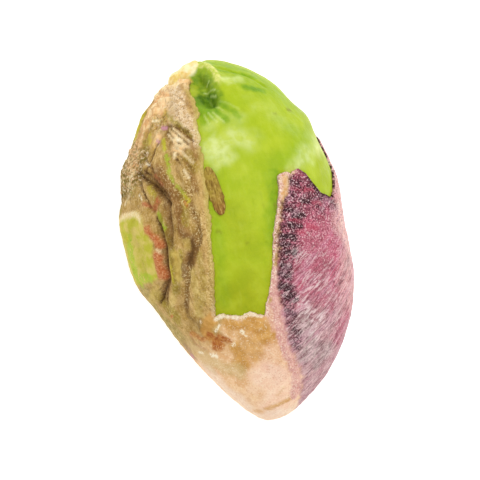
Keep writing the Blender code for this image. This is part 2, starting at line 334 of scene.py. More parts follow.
# How closely the tear's points follow its turns, how far out on the map the tear on the back lies,
# as a share of the outline, and that tear's waves: times round, size and shift.
TURN_WORTH = 5.0
BELLY_TEAR = 1.68
BELLY_WAVES = ((3, 0.02, 0.4), (7, 0.012, 2.0), (11, 0.008, 5.1))

# The front tear, counter-clockwise from above, in stretches: the heading in degrees in which the
# skin runs away from the stretch's first point, how finely it is drawn, and its plan points.
TEAR = {
    "left": (148, 1.4, (
        (-0.39, 7.74), (-0.23, 7.17), (-0.24, 6.54), (-0.43, 6.07), (-0.42, 5.33), (-0.57, 4.58),
        (-0.68, 3.82), (-0.78, 2.79), (-0.95, 2.03), (-1.10, 1.02), (-1.36, -0.21),
        (-1.68, -1.69), (-1.91, -2.68))),
    "lower": (222, 1.2, (
        (-2.09, -3.42), (-1.76, -3.38), (-1.46, -3.43), (-1.14, -3.60), (-0.84, -3.69),
        (-0.56, -3.63), (-0.36, -3.57), (-0.07, -3.76))),
    "right": (273, 1.3, (
        (0.27, -3.96), (0.47, -3.49), (0.68, -3.13), (0.91, -2.66), (1.18, -2.05),
        (1.41, -1.22), (1.63, -0.60), (1.98, 0.36), (2.33, 1.16), (2.58, 1.88))),
    "horn": (283, 1.3, ((2.70, 2.53), (2.99, 2.61), (3.31, 2.44), (3.49, 2.52))),
    "horn_side": (291, 1.2, (
        (3.70, 2.52), (3.95, 2.29), (4.17, 1.75), (4.43, 1.16), (4.68, 0.93))),
    "tooth": (302, 1.1, (
        (5.01, 0.79), (5.35, 1.64), (5.58, 2.53), (5.52, 3.08), (5.44, 3.47))),
    "side": (345, 0.9, ((5.33, 3.99), (6.00, 5.36), (5.74, 6.84), (4.78, 8.28))),
    "behind": (65, 0.6, ((2.73, 10.20), (0.96, 10.90), (-0.90, 10.30), (-1.72, 9.20))),
    "nub_side": (122, 1.0, ((-1.50, 8.58), (-1.30, 8.30), (-1.02, 8.12), (-0.62, 8.19))),
    "notch_side": (140, 1.3, ((-0.22, 8.26), (-0.29, 8.00))),
}


def front_tear(count):
    """That many points of the front tear on the flattened map, the skin's heading at each, and
    how far along the stretches each lies: 2.5 is half way along the third stretch. They lie
    closer together on finely drawn stretches and where the heading turns."""
    points = to_flat([point for _, _, stretch in TEAR.values() for point in stretch])
    ring = np.concatenate((points, points[:1]))
    steps = np.linalg.norm(np.diff(ring, axis=0), axis=1)
    walked = np.concatenate(([0.0], np.cumsum(steps)))
    lengths = [len(stretch) for _, _, stretch in TEAR.values()]
    marks = walked[np.cumsum([0] + lengths)]
    headings = np.unwrap(np.radians([heading for heading, _, _ in TEAR.values()]))
    headings = np.append(headings, headings[0] + 2.0 * np.pi)
    turns = np.diff(np.interp(walked, marks, headings))
    fineness = np.repeat([fine for _, fine, _ in TEAR.values()], lengths)
    worth = np.concatenate(([0.0], np.cumsum(np.hypot(steps, TURN_WORTH * turns) * fineness)))
    places = np.interp(np.arange(count) / count * worth[-1], worth, walked)
    loop = np.stack([np.interp(places, walked, ring[:, k]) for k in (0, 1)], axis=1)
    return loop, np.interp(places, marks, headings), np.interp(places, marks, np.arange(len(marks)))


def belly_reach(angle):
    """How far out on the map the tear on the nut's back lies, a slightly wavy outline."""
    waves = sum(size * np.sin(times * angle + shift) for times, size, shift in BELLY_WAVES)
    return (BELLY_TEAR + waves) * outline(angle)[0]


def belly_tear(loop, headings):
    """The far end of the skin's run from each point of the front tear, straight on the map. It is
    found by halving, again and again, the stretch in which the run crosses the tear on the back."""
    way = np.stack((np.cos(headings), np.sin(headings)), axis=1)
    close, far = np.zeros(len(loop)), np.full(len(loop), 40.0)
    for _ in range(40):
        middle = (close + far) / 2.0
        end = loop + way * middle[:, None]
        short = np.hypot(end[:, 0], end[:, 1]) < belly_reach(np.arctan2(end[:, 1], end[:, 0]))
        close, far = np.where(short, middle, close), np.where(short, far, middle)
    return loop + way * close[:, None]


def cover_depth(points, loop, belly):
    """Distance in from the nearer of the two tears."""
    rings = [on_body(np.concatenate((ring, ring[:1])))[0] for ring in (loop, belly)]
    return np.minimum(distance(points, rings[0]), distance(points, rings[1]))


def fold_room(points):
    """How much deeper the flesh lies under the deeply folded side of the skin: a bell curve across
    the path of the folds."""
    return FOLD_ROOM * np.exp(-((distance(points, lifted(FOLD_PATH)) / FOLD_REACH) ** 2))


def form(points, path, height, width):
    """A soft ridge or hollow along a plan path, a bell curve across it. It is left out where it
    would be next to nothing."""
    path = lifted(path)
    close = beside(points, path, 3.5 * width)
    raised = np.zeros(len(points))
    raised[close] = height * np.exp(-((distance(points[close], path) / width) ** 2))
    return raised


def placed(points, out, height):
    """Points raised from the bare nut by that height, on the nut's resting place."""
    return points + out * height[:, None] + (0.0, 0.0, BACK_DROP - REST_CUT)


def closed_grid(across, around):
    """Quads of a grid of that many points, closed round its second way."""
    index = np.arange(across * around).reshape(across, around)
    right = np.roll(index, -1, axis=1)
    return np.stack((index[:-1], right[:-1], right[1:], index[1:]), axis=-1).reshape(-1, 4)


FLESH_AROUND, FLESH_ALONG = 410, 230
TOP_CROWDING, END_CROWDING = 0.4, 0.35
NUB_PATH = ((-0.78, 8.48), (-0.12, 8.74))
NUB_HEIGHT, NUB_RADIUS = 0.38, 0.62
NUB_ROUNDING, NUB_LUMPS = 0.7, 0.14
BROAD_RIPPLE, FINE_RIPPLE = 0.020, 0.010

# Ridges (above 0) and hollows (below 0) of the bare flesh: plan path, height and width.
FLESH_FORMS = (
    # The hollow beside the nub, the lip that curls over it and the shallow trough below.
    (((0.10, 8.30), (0.30, 7.95), (0.32, 7.50), (0.50, 7.05)), -0.50, 0.38),
    (((0.45, 8.92), (0.91, 8.61), (1.12, 8.16), (1.10, 7.75)), 0.20, 0.22),
    (((0.55, 7.10), (0.95, 6.50)), -0.16, 0.40),
    # The line where the two seed leaves meet, the low ridge at the side and faint swellings.
    (((1.10, 8.60), (1.95, 8.15), (2.70, 7.65), (3.30, 7.00)), -0.07, 0.10),
    (((3.36, 2.90), (4.13, 3.30), (5.00, 3.95)), 0.12, 0.55),
    (((0.20, 4.90), (1.20, 4.70)), 0.06, 0.60),
    (((1.30, 7.72), (2.20, 7.60)), 0.05, 0.30),
)


def flesh_grid():
    """Directions from the nut's middle on rings from the blunt end to the pointed one. The rings
    crowd at the blunt end and the points of a ring crowd on the upper side: each angle is an even
    step less a share of its sine."""
    end = np.linspace(0.0, np.pi, FLESH_ALONG)
    end = end - END_CROWDING * np.sin(end)
    side = np.arange(FLESH_AROUND) / FLESH_AROUND * 2.0 * np.pi
    side = side - TOP_CROWDING * np.sin(side)
    end, side = np.meshgrid(end, side, indexing="ij")
    way = np.stack((np.sin(end) * np.sin(side), np.cos(end), np.sin(end) * np.cos(side)), axis=-1)
    return way.reshape(-1, 3)


# The flesh's points: raised by its forms where it is bare, and let down a little under the skin.
way = flesh_grid()
angle = np.arctan2(way[:, 1], way[:, 0])
reach = (1.0 - np.arcsin(np.clip(way[:, 2], -1.0, 1.0)) * 2.0 / np.pi) * outline(angle)[0]
flat = np.stack((reach * np.cos(angle), reach * np.sin(angle)), axis=1)
points, out = on_body(flat)
loop, headings, _ = front_tear(160)
belly = belly_tear(loop, headings)
bare = inside(flat, loop) | (reach > belly_reach(angle))
cover = np.where(bare, 0.0, cover_depth(points, loop, belly))
hidden = smooth(cover / EDGE_RUN)
nub = np.clip(1.0 - (distance(points, lifted(NUB_PATH)) / NUB_RADIUS) ** 2, 0.0, None)
height = (
    sum(form(points, *one) for one in FLESH_FORMS)
    + NUB_HEIGHT * nub ** NUB_ROUNDING * (1.0 + NUB_LUMPS * grain(points, 0.35, 3, 2))
    + BROAD_RIPPLE * grain(points * (1.0, 0.35, 1.0), 1.1, 11, 2)
    + FINE_RIPPLE * grain(points * (1.0, 0.30, 1.0), 0.30, 17, 2)
)
height = height * (1.0 - hidden) - EDGE_SINK * hidden
height = height - fold_room(points) * smooth(cover / FOLD_RUN)
flesh_points = placed(points, out, height)
flesh_points[:, 2] = np.maximum(flesh_points[:, 2], 0.0)


def marks(points, table, seed, firm):
    """1 on the table's plan paths and 0 away from them, each with its own width and strength."""
    return np.maximum.reduce([
        strength * near(points, path, width, 0.3 * width, seed + 3 * k, firm)
        for k, (path, width, strength) in enumerate(table)
    ])


# Where the flesh's colours lie: plan path, width and strength of each mark.
FLESH_MARKS = {
    # Pale marks: painted highlights on the flesh's rounded faces and on the ridge at its right side.
    "pale": (
        (((0.15, 4.80), (0.28, 4.15)), 1.10, 1.0),
        (((0.60, 4.95), (1.10, 5.00), (1.69, 4.67)), 1.00, 0.7),
        (((3.55, 2.70), (4.53, 3.24), (5.40, 3.75)), 0.75, 1.0),
        (((4.80, 3.90), (5.20, 3.50)), 0.80, 0.6),
        (((0.10, 5.70), (0.60, 6.00), (1.40, 5.80)), 0.80, 0.4),
        (((1.35, 7.77), (1.75, 7.74), (2.20, 7.64)), 0.38, 1.0),
        (((2.60, 6.20), (3.40, 5.50), (4.10, 4.60)), 0.80, 0.25),
    ),
    # Deep marks: darker green streaks, blots and the seam of the flesh, with painted shade along the top and
    # painted shadow beside the skin's right rim.
    "deep": (
        (((0.91, 8.90), (1.78, 8.47), (2.65, 8.00), (3.20, 7.45)), 0.40, 0.7),
        (((1.20, 8.42), (2.10, 8.06), (2.96, 7.52)), 0.24, 1.0),
        (((2.40, 7.16), (2.70, 7.05), (3.18, 6.77)), 0.42, 1.0),
        (((3.90, 4.60), (4.60, 4.10), (3.60, 3.30), (2.60, 3.00)), 1.10, 0.45),
        # Painted shadow beside the skin's lifted right rim.
        (((2.45, 2.60), (2.40, 1.60), (1.95, 0.60), (1.60, -0.60)), 0.60, 0.6),
        (((-0.35, 3.40), (-0.60, 2.40), (-0.90, 0.40), (-1.50, -2.80)), 0.55, 0.4),
        (((0.45, 6.91), (1.53, 5.61)), 0.90, 0.35),
        (((0.00, 6.90), (-0.05, 6.10)), 0.50, 0.5),
        (((0.14, 7.05), (0.42, 6.16)), 0.28, 1.0),
        (((0.46, 7.02), (1.04, 5.86)), 0.30, 1.0),
        # Painted shade along the top of the flesh.
        (((0.60, 8.85), (2.20, 8.25), (3.60, 6.85), (4.60, 5.60)), 1.80, 0.45),
        (((0.80, 7.04), (1.70, 5.82)), 0.32, 0.9),
        (((-0.10, 7.00), (-0.09, 6.07)), 0.28, 0.9),
        # Painted shadow beside the skin's lifted right rim.
        (((2.66, 2.66), (2.52, 1.95), (2.25, 1.15), (1.85, 0.10)), 0.50, 0.9),
    ),
    "fan": (
        (((0.02, 6.35), (0.14, 5.90)), 0.09, 0.6),
        (((0.24, 6.45), (0.40, 6.12), (0.55, 5.88)), 0.08, 0.8),
        (((0.46, 6.45), (0.88, 5.80)), 0.08, 0.7),
        (((0.66, 6.90), (1.05, 6.42)), 0.08, 0.5),
        (((1.00, 6.95), (1.75, 6.25)), 0.09, 0.3),
        # Painted glints in the hollow.
        (((0.55, 7.72), (1.00, 7.40)), 0.08, 0.9),
        (((0.40, 7.55), (0.80, 7.30)), 0.06, 0.8),
    ),
    "gold": (
        (((-1.60, -2.90), (-0.22, -3.14), (0.30, -2.60)), 1.90, 0.9),
        (((0.20, -0.60), (0.00, 1.20)), 1.80, 0.4),
    ),
    "right": (
        (((4.60, 5.60), (4.95, 4.40), (5.10, 3.00), (4.90, 2.00)), 0.90, 0.9),
    ),
    "speck": (
        (((4.12, 5.57), (4.22, 5.52)), 0.20, 1.0),
        (((3.42, 5.53), (3.48, 5.53)), 0.14, 0.6),
        (((1.64, 1.28), (1.68, 1.24)), 0.14, 0.5),
        (((-0.85, 0.62), (-0.75, 0.56)), 0.18, 0.8),
        (((0.35, -0.30), (0.42, -0.34)), 0.14, 0.6),
        (((2.25, 1.15), (2.20, 0.90)), 0.18, 0.8),
    ),
    "shadowed": (
        (((-0.15, 7.05), (0.15, 6.50)), 0.50, 0.8),
        (((0.30, 7.10), (0.62, 6.55)), 0.55, 0.9),
        (((0.85, 7.15), (1.20, 6.70)), 0.42, 0.6),
        (((2.45, 7.15), (2.95, 6.90)), 0.28, 0.8),
    ),
    "glint": (
        (((0.48, 8.02), (0.70, 8.08)), 0.07, 0.9),
        (((0.22, 7.78), (0.52, 7.68)), 0.07, 0.9),
        (((0.62, 7.65), (0.88, 7.52)), 0.06, 0.8),
        (((0.56, 7.46), (0.86, 7.27)), 0.07, 0.8),
    ),
}
LIP = ((0.20, 8.84), (0.62, 8.78), (0.91, 8.61), (1.10, 8.20), (1.12, 7.78))
# Where shade is painted into the hollow beside the nub: its whole outline, its floor and its darkest side.
HOLLOW = ((-0.06, 8.62), (0.41, 8.70), (0.92, 8.22), (1.09, 7.62), (1.05, 7.07), (0.34, 6.93),
          (-0.16, 7.13), (-0.50, 7.69), (-0.45, 8.20))
HOLLOW_FLOOR = ((-0.05, 7.62), (0.50, 7.60), (0.90, 7.48), (1.05, 7.05), (0.80, 6.84), (0.34, 6.86),
                (-0.05, 7.00), (-0.30, 7.22), (-0.26, 7.42))
HOLLOW_SIDE = ((0.20, 8.55), (0.55, 8.35), (0.80, 7.95), (0.85, 7.60), (0.60, 7.75), (0.35, 8.10))
flesh_masks = {
    name: marks(points, table, 20 + 40 * k, 1.1)
    for k, (name, table) in enumerate(FLESH_MARKS.items())
}
flesh_masks["nub"] = smooth(nub * (3.5 + 1.5 * grain(points, 0.3, 5, 2)))
# Painted shade round the base of the nub.
flesh_masks["nub_base_painted_shade"] = near(points, ((-1.05, 8.25), (-0.33, 8.42)), 0.30, 0.12, 6)
flesh_masks["lip"] = near(points, LIP, 0.22, 0.06, 10)
flesh_masks["hollow_light"] = near(points, ((-0.16, 8.10), (-0.28, 7.62)), 0.34, 0.08, 11)
# Painted shade in the hollow, its floor and its darkest side.
flesh_masks["hollow"] = within(points, flat, HOLLOW, 0.34, 0.14, 7)
flesh_masks["hollow_floor"] = within(points, flat, HOLLOW_FLOOR, 0.40, 0.16, 8)
flesh_masks["hollow_side"] = within(points, flat, HOLLOW_SIDE, 0.22, 0.06, 9)
flesh_faces = closed_grid(FLESH_ALONG, FLESH_AROUND)[:, ::-1]
flesh = mesh_piece("green_flesh", flesh_points, flesh_faces, flesh_masks)

finish = Finish(
    "waxy_green_flesh", (tone(168, 190, 22), tone(178, 196, 34), 1.2), 0.42, Specular_IOR_Level=0.18,
    Subsurface_Weight=0.20, Subsurface_Radius=(0.6, 0.5, 0.15), Subsurface_Scale=0.4 * MM,
)
finish.coat("gold", (tone(158, 164, 8), tone(170, 178, 18), 0.9), 0.85)
finish.coat("right", tone(164, 180, 14), 0.75)
# Painted highlights on the rounded faces and the right ridge.
finish.coat("pale", (tone(206, 218, 104), tone(224, 234, 158), 0.5), 0.85)
# Darker green: the flesh's own streaks, with painted shade along the top and painted shadow beside the skin.
finish.coat("deep", (tone(112, 158, 8), tone(134, 172, 16), 0.4), 0.85)
finish.coat("shadowed", (tone(98, 146, 12), tone(120, 162, 20), 0.3), 0.8)
# Pale streaks below the hollow, with painted glints within it.
finish.coat("fan", tone(214, 228, 140), 0.8)
# Painted shade in the hollow beside the nub, darkest on its floor and one side.
finish.coat("hollow", (tone(112, 148, 20), tone(146, 172, 34), 0.35), 0.95)
finish.coat("hollow_side", (tone(84, 118, 18), tone(112, 142, 24), 0.2), 0.8)
finish.coat("hollow_floor", (tone(66, 106, 12), tone(98, 136, 22), 0.25), 0.95)
finish.coat("hollow_light", tone(168, 182, 34), 0.85)
finish.coat("glint", tone(206, 222, 140), 0.75)
finish.coat("lip", (tone(230, 226, 138), tone(192, 204, 70), 0.20), 0.9)
finish.coat("nub", (tone(254, 240, 196), tone(246, 218, 146), 0.3))
# Painted shade round the base of the nub.
finish.coat("nub_base_painted_shade", (tone(226, 178, 80), tone(244, 214, 140), 0.2), 0.8)
finish.coat("speck", tone(120, 116, 16), 0.6)
fibre = finish.drawn_out(0.35, 4.0, 0.3)
finish.coat(finish.between(fibre, 0.52, 0.74, 0.0, 0.11), tone(214, 226, 96))
finish.coat(finish.between(fibre, 0.48, 0.28, 0.0, 0.15), tone(134, 158, 10))
dimples = finish.lumps(0.9, 2.0)
finish.coat(finish.between(dimples, 0.52, 0.70, 0.0, 0.12), tone(210, 222, 80))
finish.coat(finish.between(dimples, 0.48, 0.30, 0.0, 0.16), tone(138, 168, 10))
fine = finish.lumps(0.12, 3.0)
finish.put(finish.shader.inputs["Roughness"], finish.between(finish.lumps(0.5), 0.3, 0.7, 0.42, 0.56))
uneven = finish.product(finish.product(fibre, fine, "ADD"), finish.product(dimples, 2.0), "ADD")
flesh.data.materials.append(finish.done(uneven, 0.03))
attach(flesh, "root")
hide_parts("kernel")

# The seed coat: the nut's dried skin, thin, matt and wrinkled, which grew round the flesh.
# It is torn open over the upper side and worn through on the nut's back. It is tan, folded and
# crumbly on the left, peach at the pointed end, and purple and stringy on the right.

SKIN_COLUMNS = 610
OUTER_ROWS, INNER_ROWS = 133, 18
ROW_CROWDING = 1.3
SKIN_THICKNESS = 0.15
LEAST_THICKNESS = 0.10

# How ragged the torn edge is, and how far in from it the skin has its full height: the first run
# on the left, and that much less on the other stretches.
EDGE_RAGGED, EDGE_FINE_RAGGED = 0.065, 0.045
LEFT_EDGE_RUN, OTHER_EDGES_LESS = 0.8, 0.45

# The fibres' turn on the map in degrees and their stretch, and the height of the fine relief.
FIBRE_TURN, FIBRE_STRETCH = 24.0, 0.28
FOLD_WRINKLES, SOFT_WRINKLES, FIBRE_WRINKLES, FINE_WRINKLES = 0.07, 0.025, 0.035, 0.015
CRUMBS, FINE_CRUMBS, CRUMB_MIDDLE, LUMPS = 0.14, 0.08, 0.10, 0.10

# How high the torn edge's outer and inner sides stand over the bare nut, for each stretch of the
# tear.
EDGE_TOP = {"left": 0.08, "lower": 0.13, "right": 0.17, "horn": 0.24, "horn_side": 0.22,
            "tooth": 0.10, "side": 0.11, "behind": 0.16, "nub_side": 0.14, "notch_side": 0.16}
EDGE_BELOW = {"left": -0.06, "lower": -0.03, "right": -0.05, "horn": 0.05, "horn_side": 0.02,
              "tooth": 0.00, "side": -0.01, "behind": 0.00, "nub_side": -0.05, "notch_side": -0.03}

# Ridges (above 0) and furrows (below 0) of the skin: plan path, height and width.
SKIN_FORMS = (
    # The long furrows of the left side.
    (((-3.76, 4.29), (-3.48, 3.95), (-3.19, 3.60), (-2.85, 2.90), (-2.72, 2.56), (-2.90, 2.00),
      (-3.05, 1.21), (-3.10, 0.69)), -0.15, 0.18),
    (((-3.50, 1.63), (-3.49, 1.25), (-3.51, 0.65), (-3.59, 0.06), (-3.71, -0.51), (-3.72, -0.85),
      (-3.96, -1.28), (-4.30, -1.85)), -0.18, 0.16),
    (((-1.50, 3.60), (-1.66, 2.40), (-1.66, 1.20), (-1.81, 0.26), (-2.25, -0.20), (-2.51, -0.69),
      (-2.76, -1.23), (-3.03, -1.76), (-3.17, -2.26), (-3.25, -3.00)), -0.08, 0.20),
    (((-2.20, 0.50), (-2.20, 0.10), (-2.40, -0.30), (-2.60, -0.60)), -0.12, 0.18),
    # The ridges between them.
    (((-3.50, 4.05), (-3.38, 3.73), (-3.25, 3.39), (-3.13, 3.13)), 0.08, 0.16),
    (((-3.11, 2.51), (-3.31, 2.11), (-3.24, 1.64), (-3.22, 0.72)), 0.14, 0.14),
    (((-2.79, 4.25), (-2.45, 3.34), (-2.30, 2.53), (-2.33, 1.77), (-2.45, 1.00)), 0.10, 0.30),
    (((-2.88, 0.86), (-3.20, 0.26), (-3.36, -0.29), (-3.40, -0.75), (-3.61, -1.45)), 0.12, 0.16),
    (((-2.72, 0.14), (-2.84, -0.45), (-3.05, -0.97)), 0.08, 0.14),
    (((-1.14, 1.67), (-1.30, 0.95), (-1.62, -0.47), (-2.00, -1.58), (-2.30, -2.60)), 0.05, 0.24),
    (((-2.50, -0.90), (-2.57, -2.03), (-2.67, -2.99)), 0.10, 0.22),
    (((-3.33, -1.37), (-3.71, -1.93), (-4.00, -2.60)), 0.08, 0.18),
    # The lobe at the far left, a little sunk, with raised edges above it and beside it.
    (((-4.92, 2.56), (-4.32, 2.54), (-4.20, 2.28), (-4.11, 1.76)), 0.10, 0.14),
    (((-4.85, 1.70), (-4.75, 0.60), (-4.75, -0.40)), -0.08, 0.45),
    (((-4.02, 1.60), (-3.80, 1.10), (-3.92, 0.30), (-4.00, -0.60)), 0.10, 0.15),
    # The fold and the two hollows where the left side meets the pointed end, and the tip's furrow
    # and swelling.
    (((-3.79, -3.32), (-3.47, -3.09), (-3.06, -2.94), (-2.84, -2.90)), 0.10, 0.16),
    (((-3.42, -3.93), (-3.29, -4.40), (-2.89, -4.87)), -0.10, 0.14),
    (((-2.45, -4.45), (-1.95, -4.75)), -0.16, 0.28),
    (((-1.51, -8.49), (-0.79, -8.42), (0.40, -8.22)), -0.10, 0.13),
    (((-0.90, -7.52), (0.01, -7.41)), 0.06, 0.25),
    # The crumbs beside the nub, the creases between them and a swelling at the upper left.
    (((-1.45, 8.05), (-1.20, 7.97)), 0.10, 0.16),
    (((-1.80, 7.90), (-1.95, 7.80)), 0.10, 0.16),
    (((-1.60, 7.58), (-1.78, 7.48)), 0.12, 0.14),
    (((-2.05, 7.36), (-2.20, 7.22)), 0.12, 0.16),
    (((-1.10, 8.05), (-0.70, 7.95)), 0.08, 0.13),
    (((-1.80, 7.90), (-1.50, 7.75), (-1.20, 7.70)), -0.12, 0.08),
    (((-1.72, 7.90), (-2.05, 7.40)), -0.10, 0.08),
    (((-2.80, 7.05), (-3.30, 6.35)), 0.07, 0.26),
)

# Sharp creases of the skin: plan path, depth and width.
SKIN_CREASES = (
    (((-3.92, 4.56), (-3.76, 4.29), (-3.48, 3.95), (-3.19, 3.60), (-3.00, 3.21), (-2.85, 2.90),
      (-2.72, 2.56)), 0.26, 0.07),
    (((-3.49, 4.44), (-3.21, 4.10), (-2.96, 3.61), (-2.83, 3.27), (-2.67, 2.89)), 0.20, 0.06),
    (((-3.27, 4.96), (-3.06, 4.37), (-2.87, 3.79)), 0.16, 0.06),
    (((-3.90, 4.30), (-3.84, 3.86), (-3.81, 3.43), (-3.73, 3.03), (-3.65, 2.62), (-3.52, 2.40)), 0.20, 0.07),
    (((-2.75, 2.57), (-2.85, 2.14), (-2.95, 1.71), (-3.05, 1.21), (-3.10, 0.69), (-3.20, 0.10)), 0.10, 0.07),
    (((-3.55, 2.03), (-3.50, 1.63), (-3.49, 1.25), (-3.51, 0.65), (-3.59, 0.06), (-3.71, -0.51),
      (-3.72, -0.85)), 0.22, 0.07),
    (((-3.74, -0.88), (-3.96, -1.28), (-4.22, -1.66), (-4.42, -1.99)), 0.18, 0.06),
    (((-3.67, -0.95), (-3.92, -1.50), (-4.05, -2.10)), 0.14, 0.05),
    (((-3.72, -0.85), (-4.15, -1.25), (-4.60, -1.55)), 0.10, 0.05),
    (((-4.00, -0.95), (-4.50, -1.15), (-4.90, -1.20)), 0.08, 0.06),
    (((-3.98, -1.20), (-4.50, -1.50), (-4.80, -1.75)), 0.08, 0.06),
    (((-2.18, 0.51), (-2.17, 0.13), (-2.36, -0.28), (-2.58, -0.52)), 0.12, 0.07),
    (((-1.69, 1.59), (-1.65, 1.05), (-1.63, 0.66), (-1.81, 0.26), (-2.20, -0.24), (-2.51, -0.69),
      (-2.76, -1.23), (-3.03, -1.76), (-3.17, -2.26)), 0.07, 0.06),
    (((-1.87, 4.30), (-1.87, 3.70), (-1.80, 3.14), (-1.79, 2.61), (-1.77, 2.15), (-1.69, 1.59)), 0.10, 0.06),
    (((-1.89, 4.73), (-1.79, 4.55), (-1.62, 4.05), (-1.43, 3.39)), 0.12, 0.06),
    (((-2.95, 0.40), (-3.10, -0.30), (-3.20, -1.00), (-3.40, -1.80)), 0.10, 0.06),
    (((-2.55, 1.20), (-2.60, 0.30), (-2.75, -0.20)), 0.08, 0.05),
    (((-1.08, 7.70), (-0.85, 7.41), (-0.63, 7.12), (-0.30, 6.65)), 0.07, 0.05),
    (((-2.61, 7.20), (-3.00, 6.75), (-3.25, 6.35), (-3.55, 5.80)), 0.12, 0.08),
    (((-2.50, 6.90), (-2.75, 6.40), (-3.10, 5.70), (-3.30, 5.20)), 0.10, 0.07),
    (((-1.92, 5.71), (-1.66, 5.01)), 0.12, 0.05),
    (((-1.91, 6.07), (-1.43, 5.22)), 0.14, 0.05),
    (((-1.68, 6.10), (-1.09, 5.13)), 0.14, 0.05),
    (((-1.45, 6.12), (-0.80, 5.23)), 0.12, 0.05),
    (((-1.98, 6.06), (-1.95, 5.36), (-2.03, 4.77)), 0.12, 0.05),
    (((-1.75, 6.30), (-1.30, 6.00), (-0.80, 5.45)), 0.12, 0.06),
    (((-2.39, 5.66), (-2.95, 4.92), (-3.47, 4.34)), 0.12, 0.06),
    (((-1.40, 7.80), (-1.75, 7.68), (-2.00, 7.55), (-2.35, 7.35)), 0.12, 0.05),
    (((-1.95, 7.62), (-1.86, 7.38), (-1.90, 7.05)), 0.10, 0.05),
    (((-3.42, -3.93), (-3.29, -4.40), (-2.89, -4.87)), 0.08, 0.07),
    (((0.44, -5.52), (-0.08, -5.81)), 0.05, 0.05),
)

# The skin's parts, as closed plan loops: the crumbly upper left, the purple side and the lobe.
CRUMBLY_SIDE = ((-5.20, 3.30), (-4.80, 4.90), (-3.90, 6.10), (-3.40, 6.05), (-3.05, 5.20), (-3.40, 4.80),
                (-3.90, 4.20), (-4.30, 3.30))
PURPLE_SIDE = ((3.46, 2.58), (3.14, 2.20), (2.69, 1.32), (2.38, 0.77), (2.09, -0.09), (1.61, -1.65),
               (1.42, -2.30), (1.20, -3.10), (1.17, -4.00), (1.10, -4.60), (1.05, -5.40),
               (1.10, -6.00), (1.22, -6.50), (1.27, -7.30), (0.92, -8.12), (0.42, -8.84),
               (0.30, -12.0), (9.0, -12.0), (12.0, 0.0), (11.0, 9.0), (3.5, 12.0), (2.5, 9.6),
               (4.0, 6.0), (3.6, 3.4))
LOBE = ((-5.40, 2.42), (-4.92, 2.56), (-4.32, 2.54), (-4.20, 2.28), (-4.11, 1.76), (-4.04, 1.33),
        (-4.00, 0.94), (-4.15, 0.23), (-4.18, -0.14), (-4.20, -0.78), (-4.80, -0.86), (-5.27, -0.90),
        (-5.75, -0.75), (-6.35, -0.20), (-6.60, 0.65), (-6.35, 1.60), (-5.90, 2.15))


def along_tear(table, places):
    """The table's value at each place along the tear, changing evenly from stretch to stretch."""
    values = np.array(list(table.values()) * 3)
    middles = np.arange(len(values)) + 0.5 - len(table)
    return np.interp(places, middles, values)


def skin_rows():
    """The skin as a closed strip for each point of the front tear: on the flattened map, straight
    from that tear to the one on the back, outside, and the same way back inside."""
    tear, heading, places = front_tear(SKIN_COLUMNS)
    back = belly_tear(tear, heading)
    way = np.stack((np.cos(heading), np.sin(heading)), axis=1)
    edge = on_body(tear)[0]
    ragged = EDGE_RAGGED * grain(edge, 0.40, 60, 3) + EDGE_FINE_RAGGED * grain(edge, 0.14, 66, 2)
    tear = tear + way * ragged[:, None]
    outer = (np.arange(OUTER_ROWS) / (OUTER_ROWS - 1)) ** ROW_CROWDING
    inner = (np.arange(INNER_ROWS)[::-1] / (INNER_ROWS - 1)) ** ROW_CROWDING
    share = np.concatenate((outer, inner))[:, None, None]
    flat = tear + (back - tear) * share
    is_outer = np.repeat((True, False), (OUTER_ROWS, INNER_ROWS))
    is_outer = np.broadcast_to(is_outer[:, None], flat.shape[:2])
    places = np.broadcast_to(places, flat.shape[:2])
    return flat.reshape(-1, 2), is_outer.ravel(), places.ravel()


# The skin's points on the bare nut, and where its parts lie on it.
flat, is_outer, places = skin_rows()
points, out = on_body(flat)
ring = on_body(np.concatenate((loop, loop[:1])))[0]
from_front = distance(points, ring)
cover = cover_depth(points, loop, belly)
hidden = smooth(cover / EDGE_RUN)
room = fold_room(points)
purple = within(points, flat, PURPLE_SIDE, 0.25, 0.10, 71)
lobe = within(points, flat, LOBE, 0.18, 0.08, 72)
left_side = smooth(room / 0.25) * (1.0 - purple)
crumbly = np.maximum(within(points, flat, CRUMBLY_SIDE, 0.5, 0.2, 73),
                     0.5 * near(points, ((-2.50, 6.60), (-2.00, 6.40)), 0.6, 0.2, 74))
lumpy = near(points, ((-1.25, 8.05), (-2.10, 7.40), (-2.65, 6.70), (-3.20, 6.00)), 0.75, 0.2, 76)
peach = smooth((-3.6 - points[:, 1]) / 2.2) * (1.0 - purple)
peach_top = near(points, ((-1.10, -4.30), (0.10, -4.40), (0.50, -6.0)), 1.2, 0.3, 75)
peach = np.maximum(peach, peach_top) * (1.0 - purple)

turned = np.radians(FIBRE_TURN)
along_fibre = flat[:, 0] * np.cos(turned) + flat[:, 1] * np.sin(turned)
across_fibre = flat[:, 1] * np.cos(turned) - flat[:, 0] * np.sin(turned)
fibre_place = np.stack((along_fibre * FIBRE_STRETCH, across_fibre, 0.0 * across_fibre), axis=1)
lengthwise = points * (1.0, 0.30, 1.0)
forms = sum(form(points, *one) for one in SKIN_FORMS)


def crease(points, path, depth, width):
    """A sharp crease along a plan path: its depth dies away exponentially on both sides, and both
    its depth and its course are a little uneven."""
    path = lifted(path)
    close = beside(points, path, 5.0 * width)
    sunk = np.zeros(len(points))
    away = distance(points[close], path) + 0.5 * width * grain(points[close], 0.25, 170, 2)
    uneven = 0.75 + 0.35 * grain(points[close], 0.7, 174, 2)
    sunk[close] = depth * uneven * np.exp(-np.maximum(away, 0.0) / width)
    return sunk


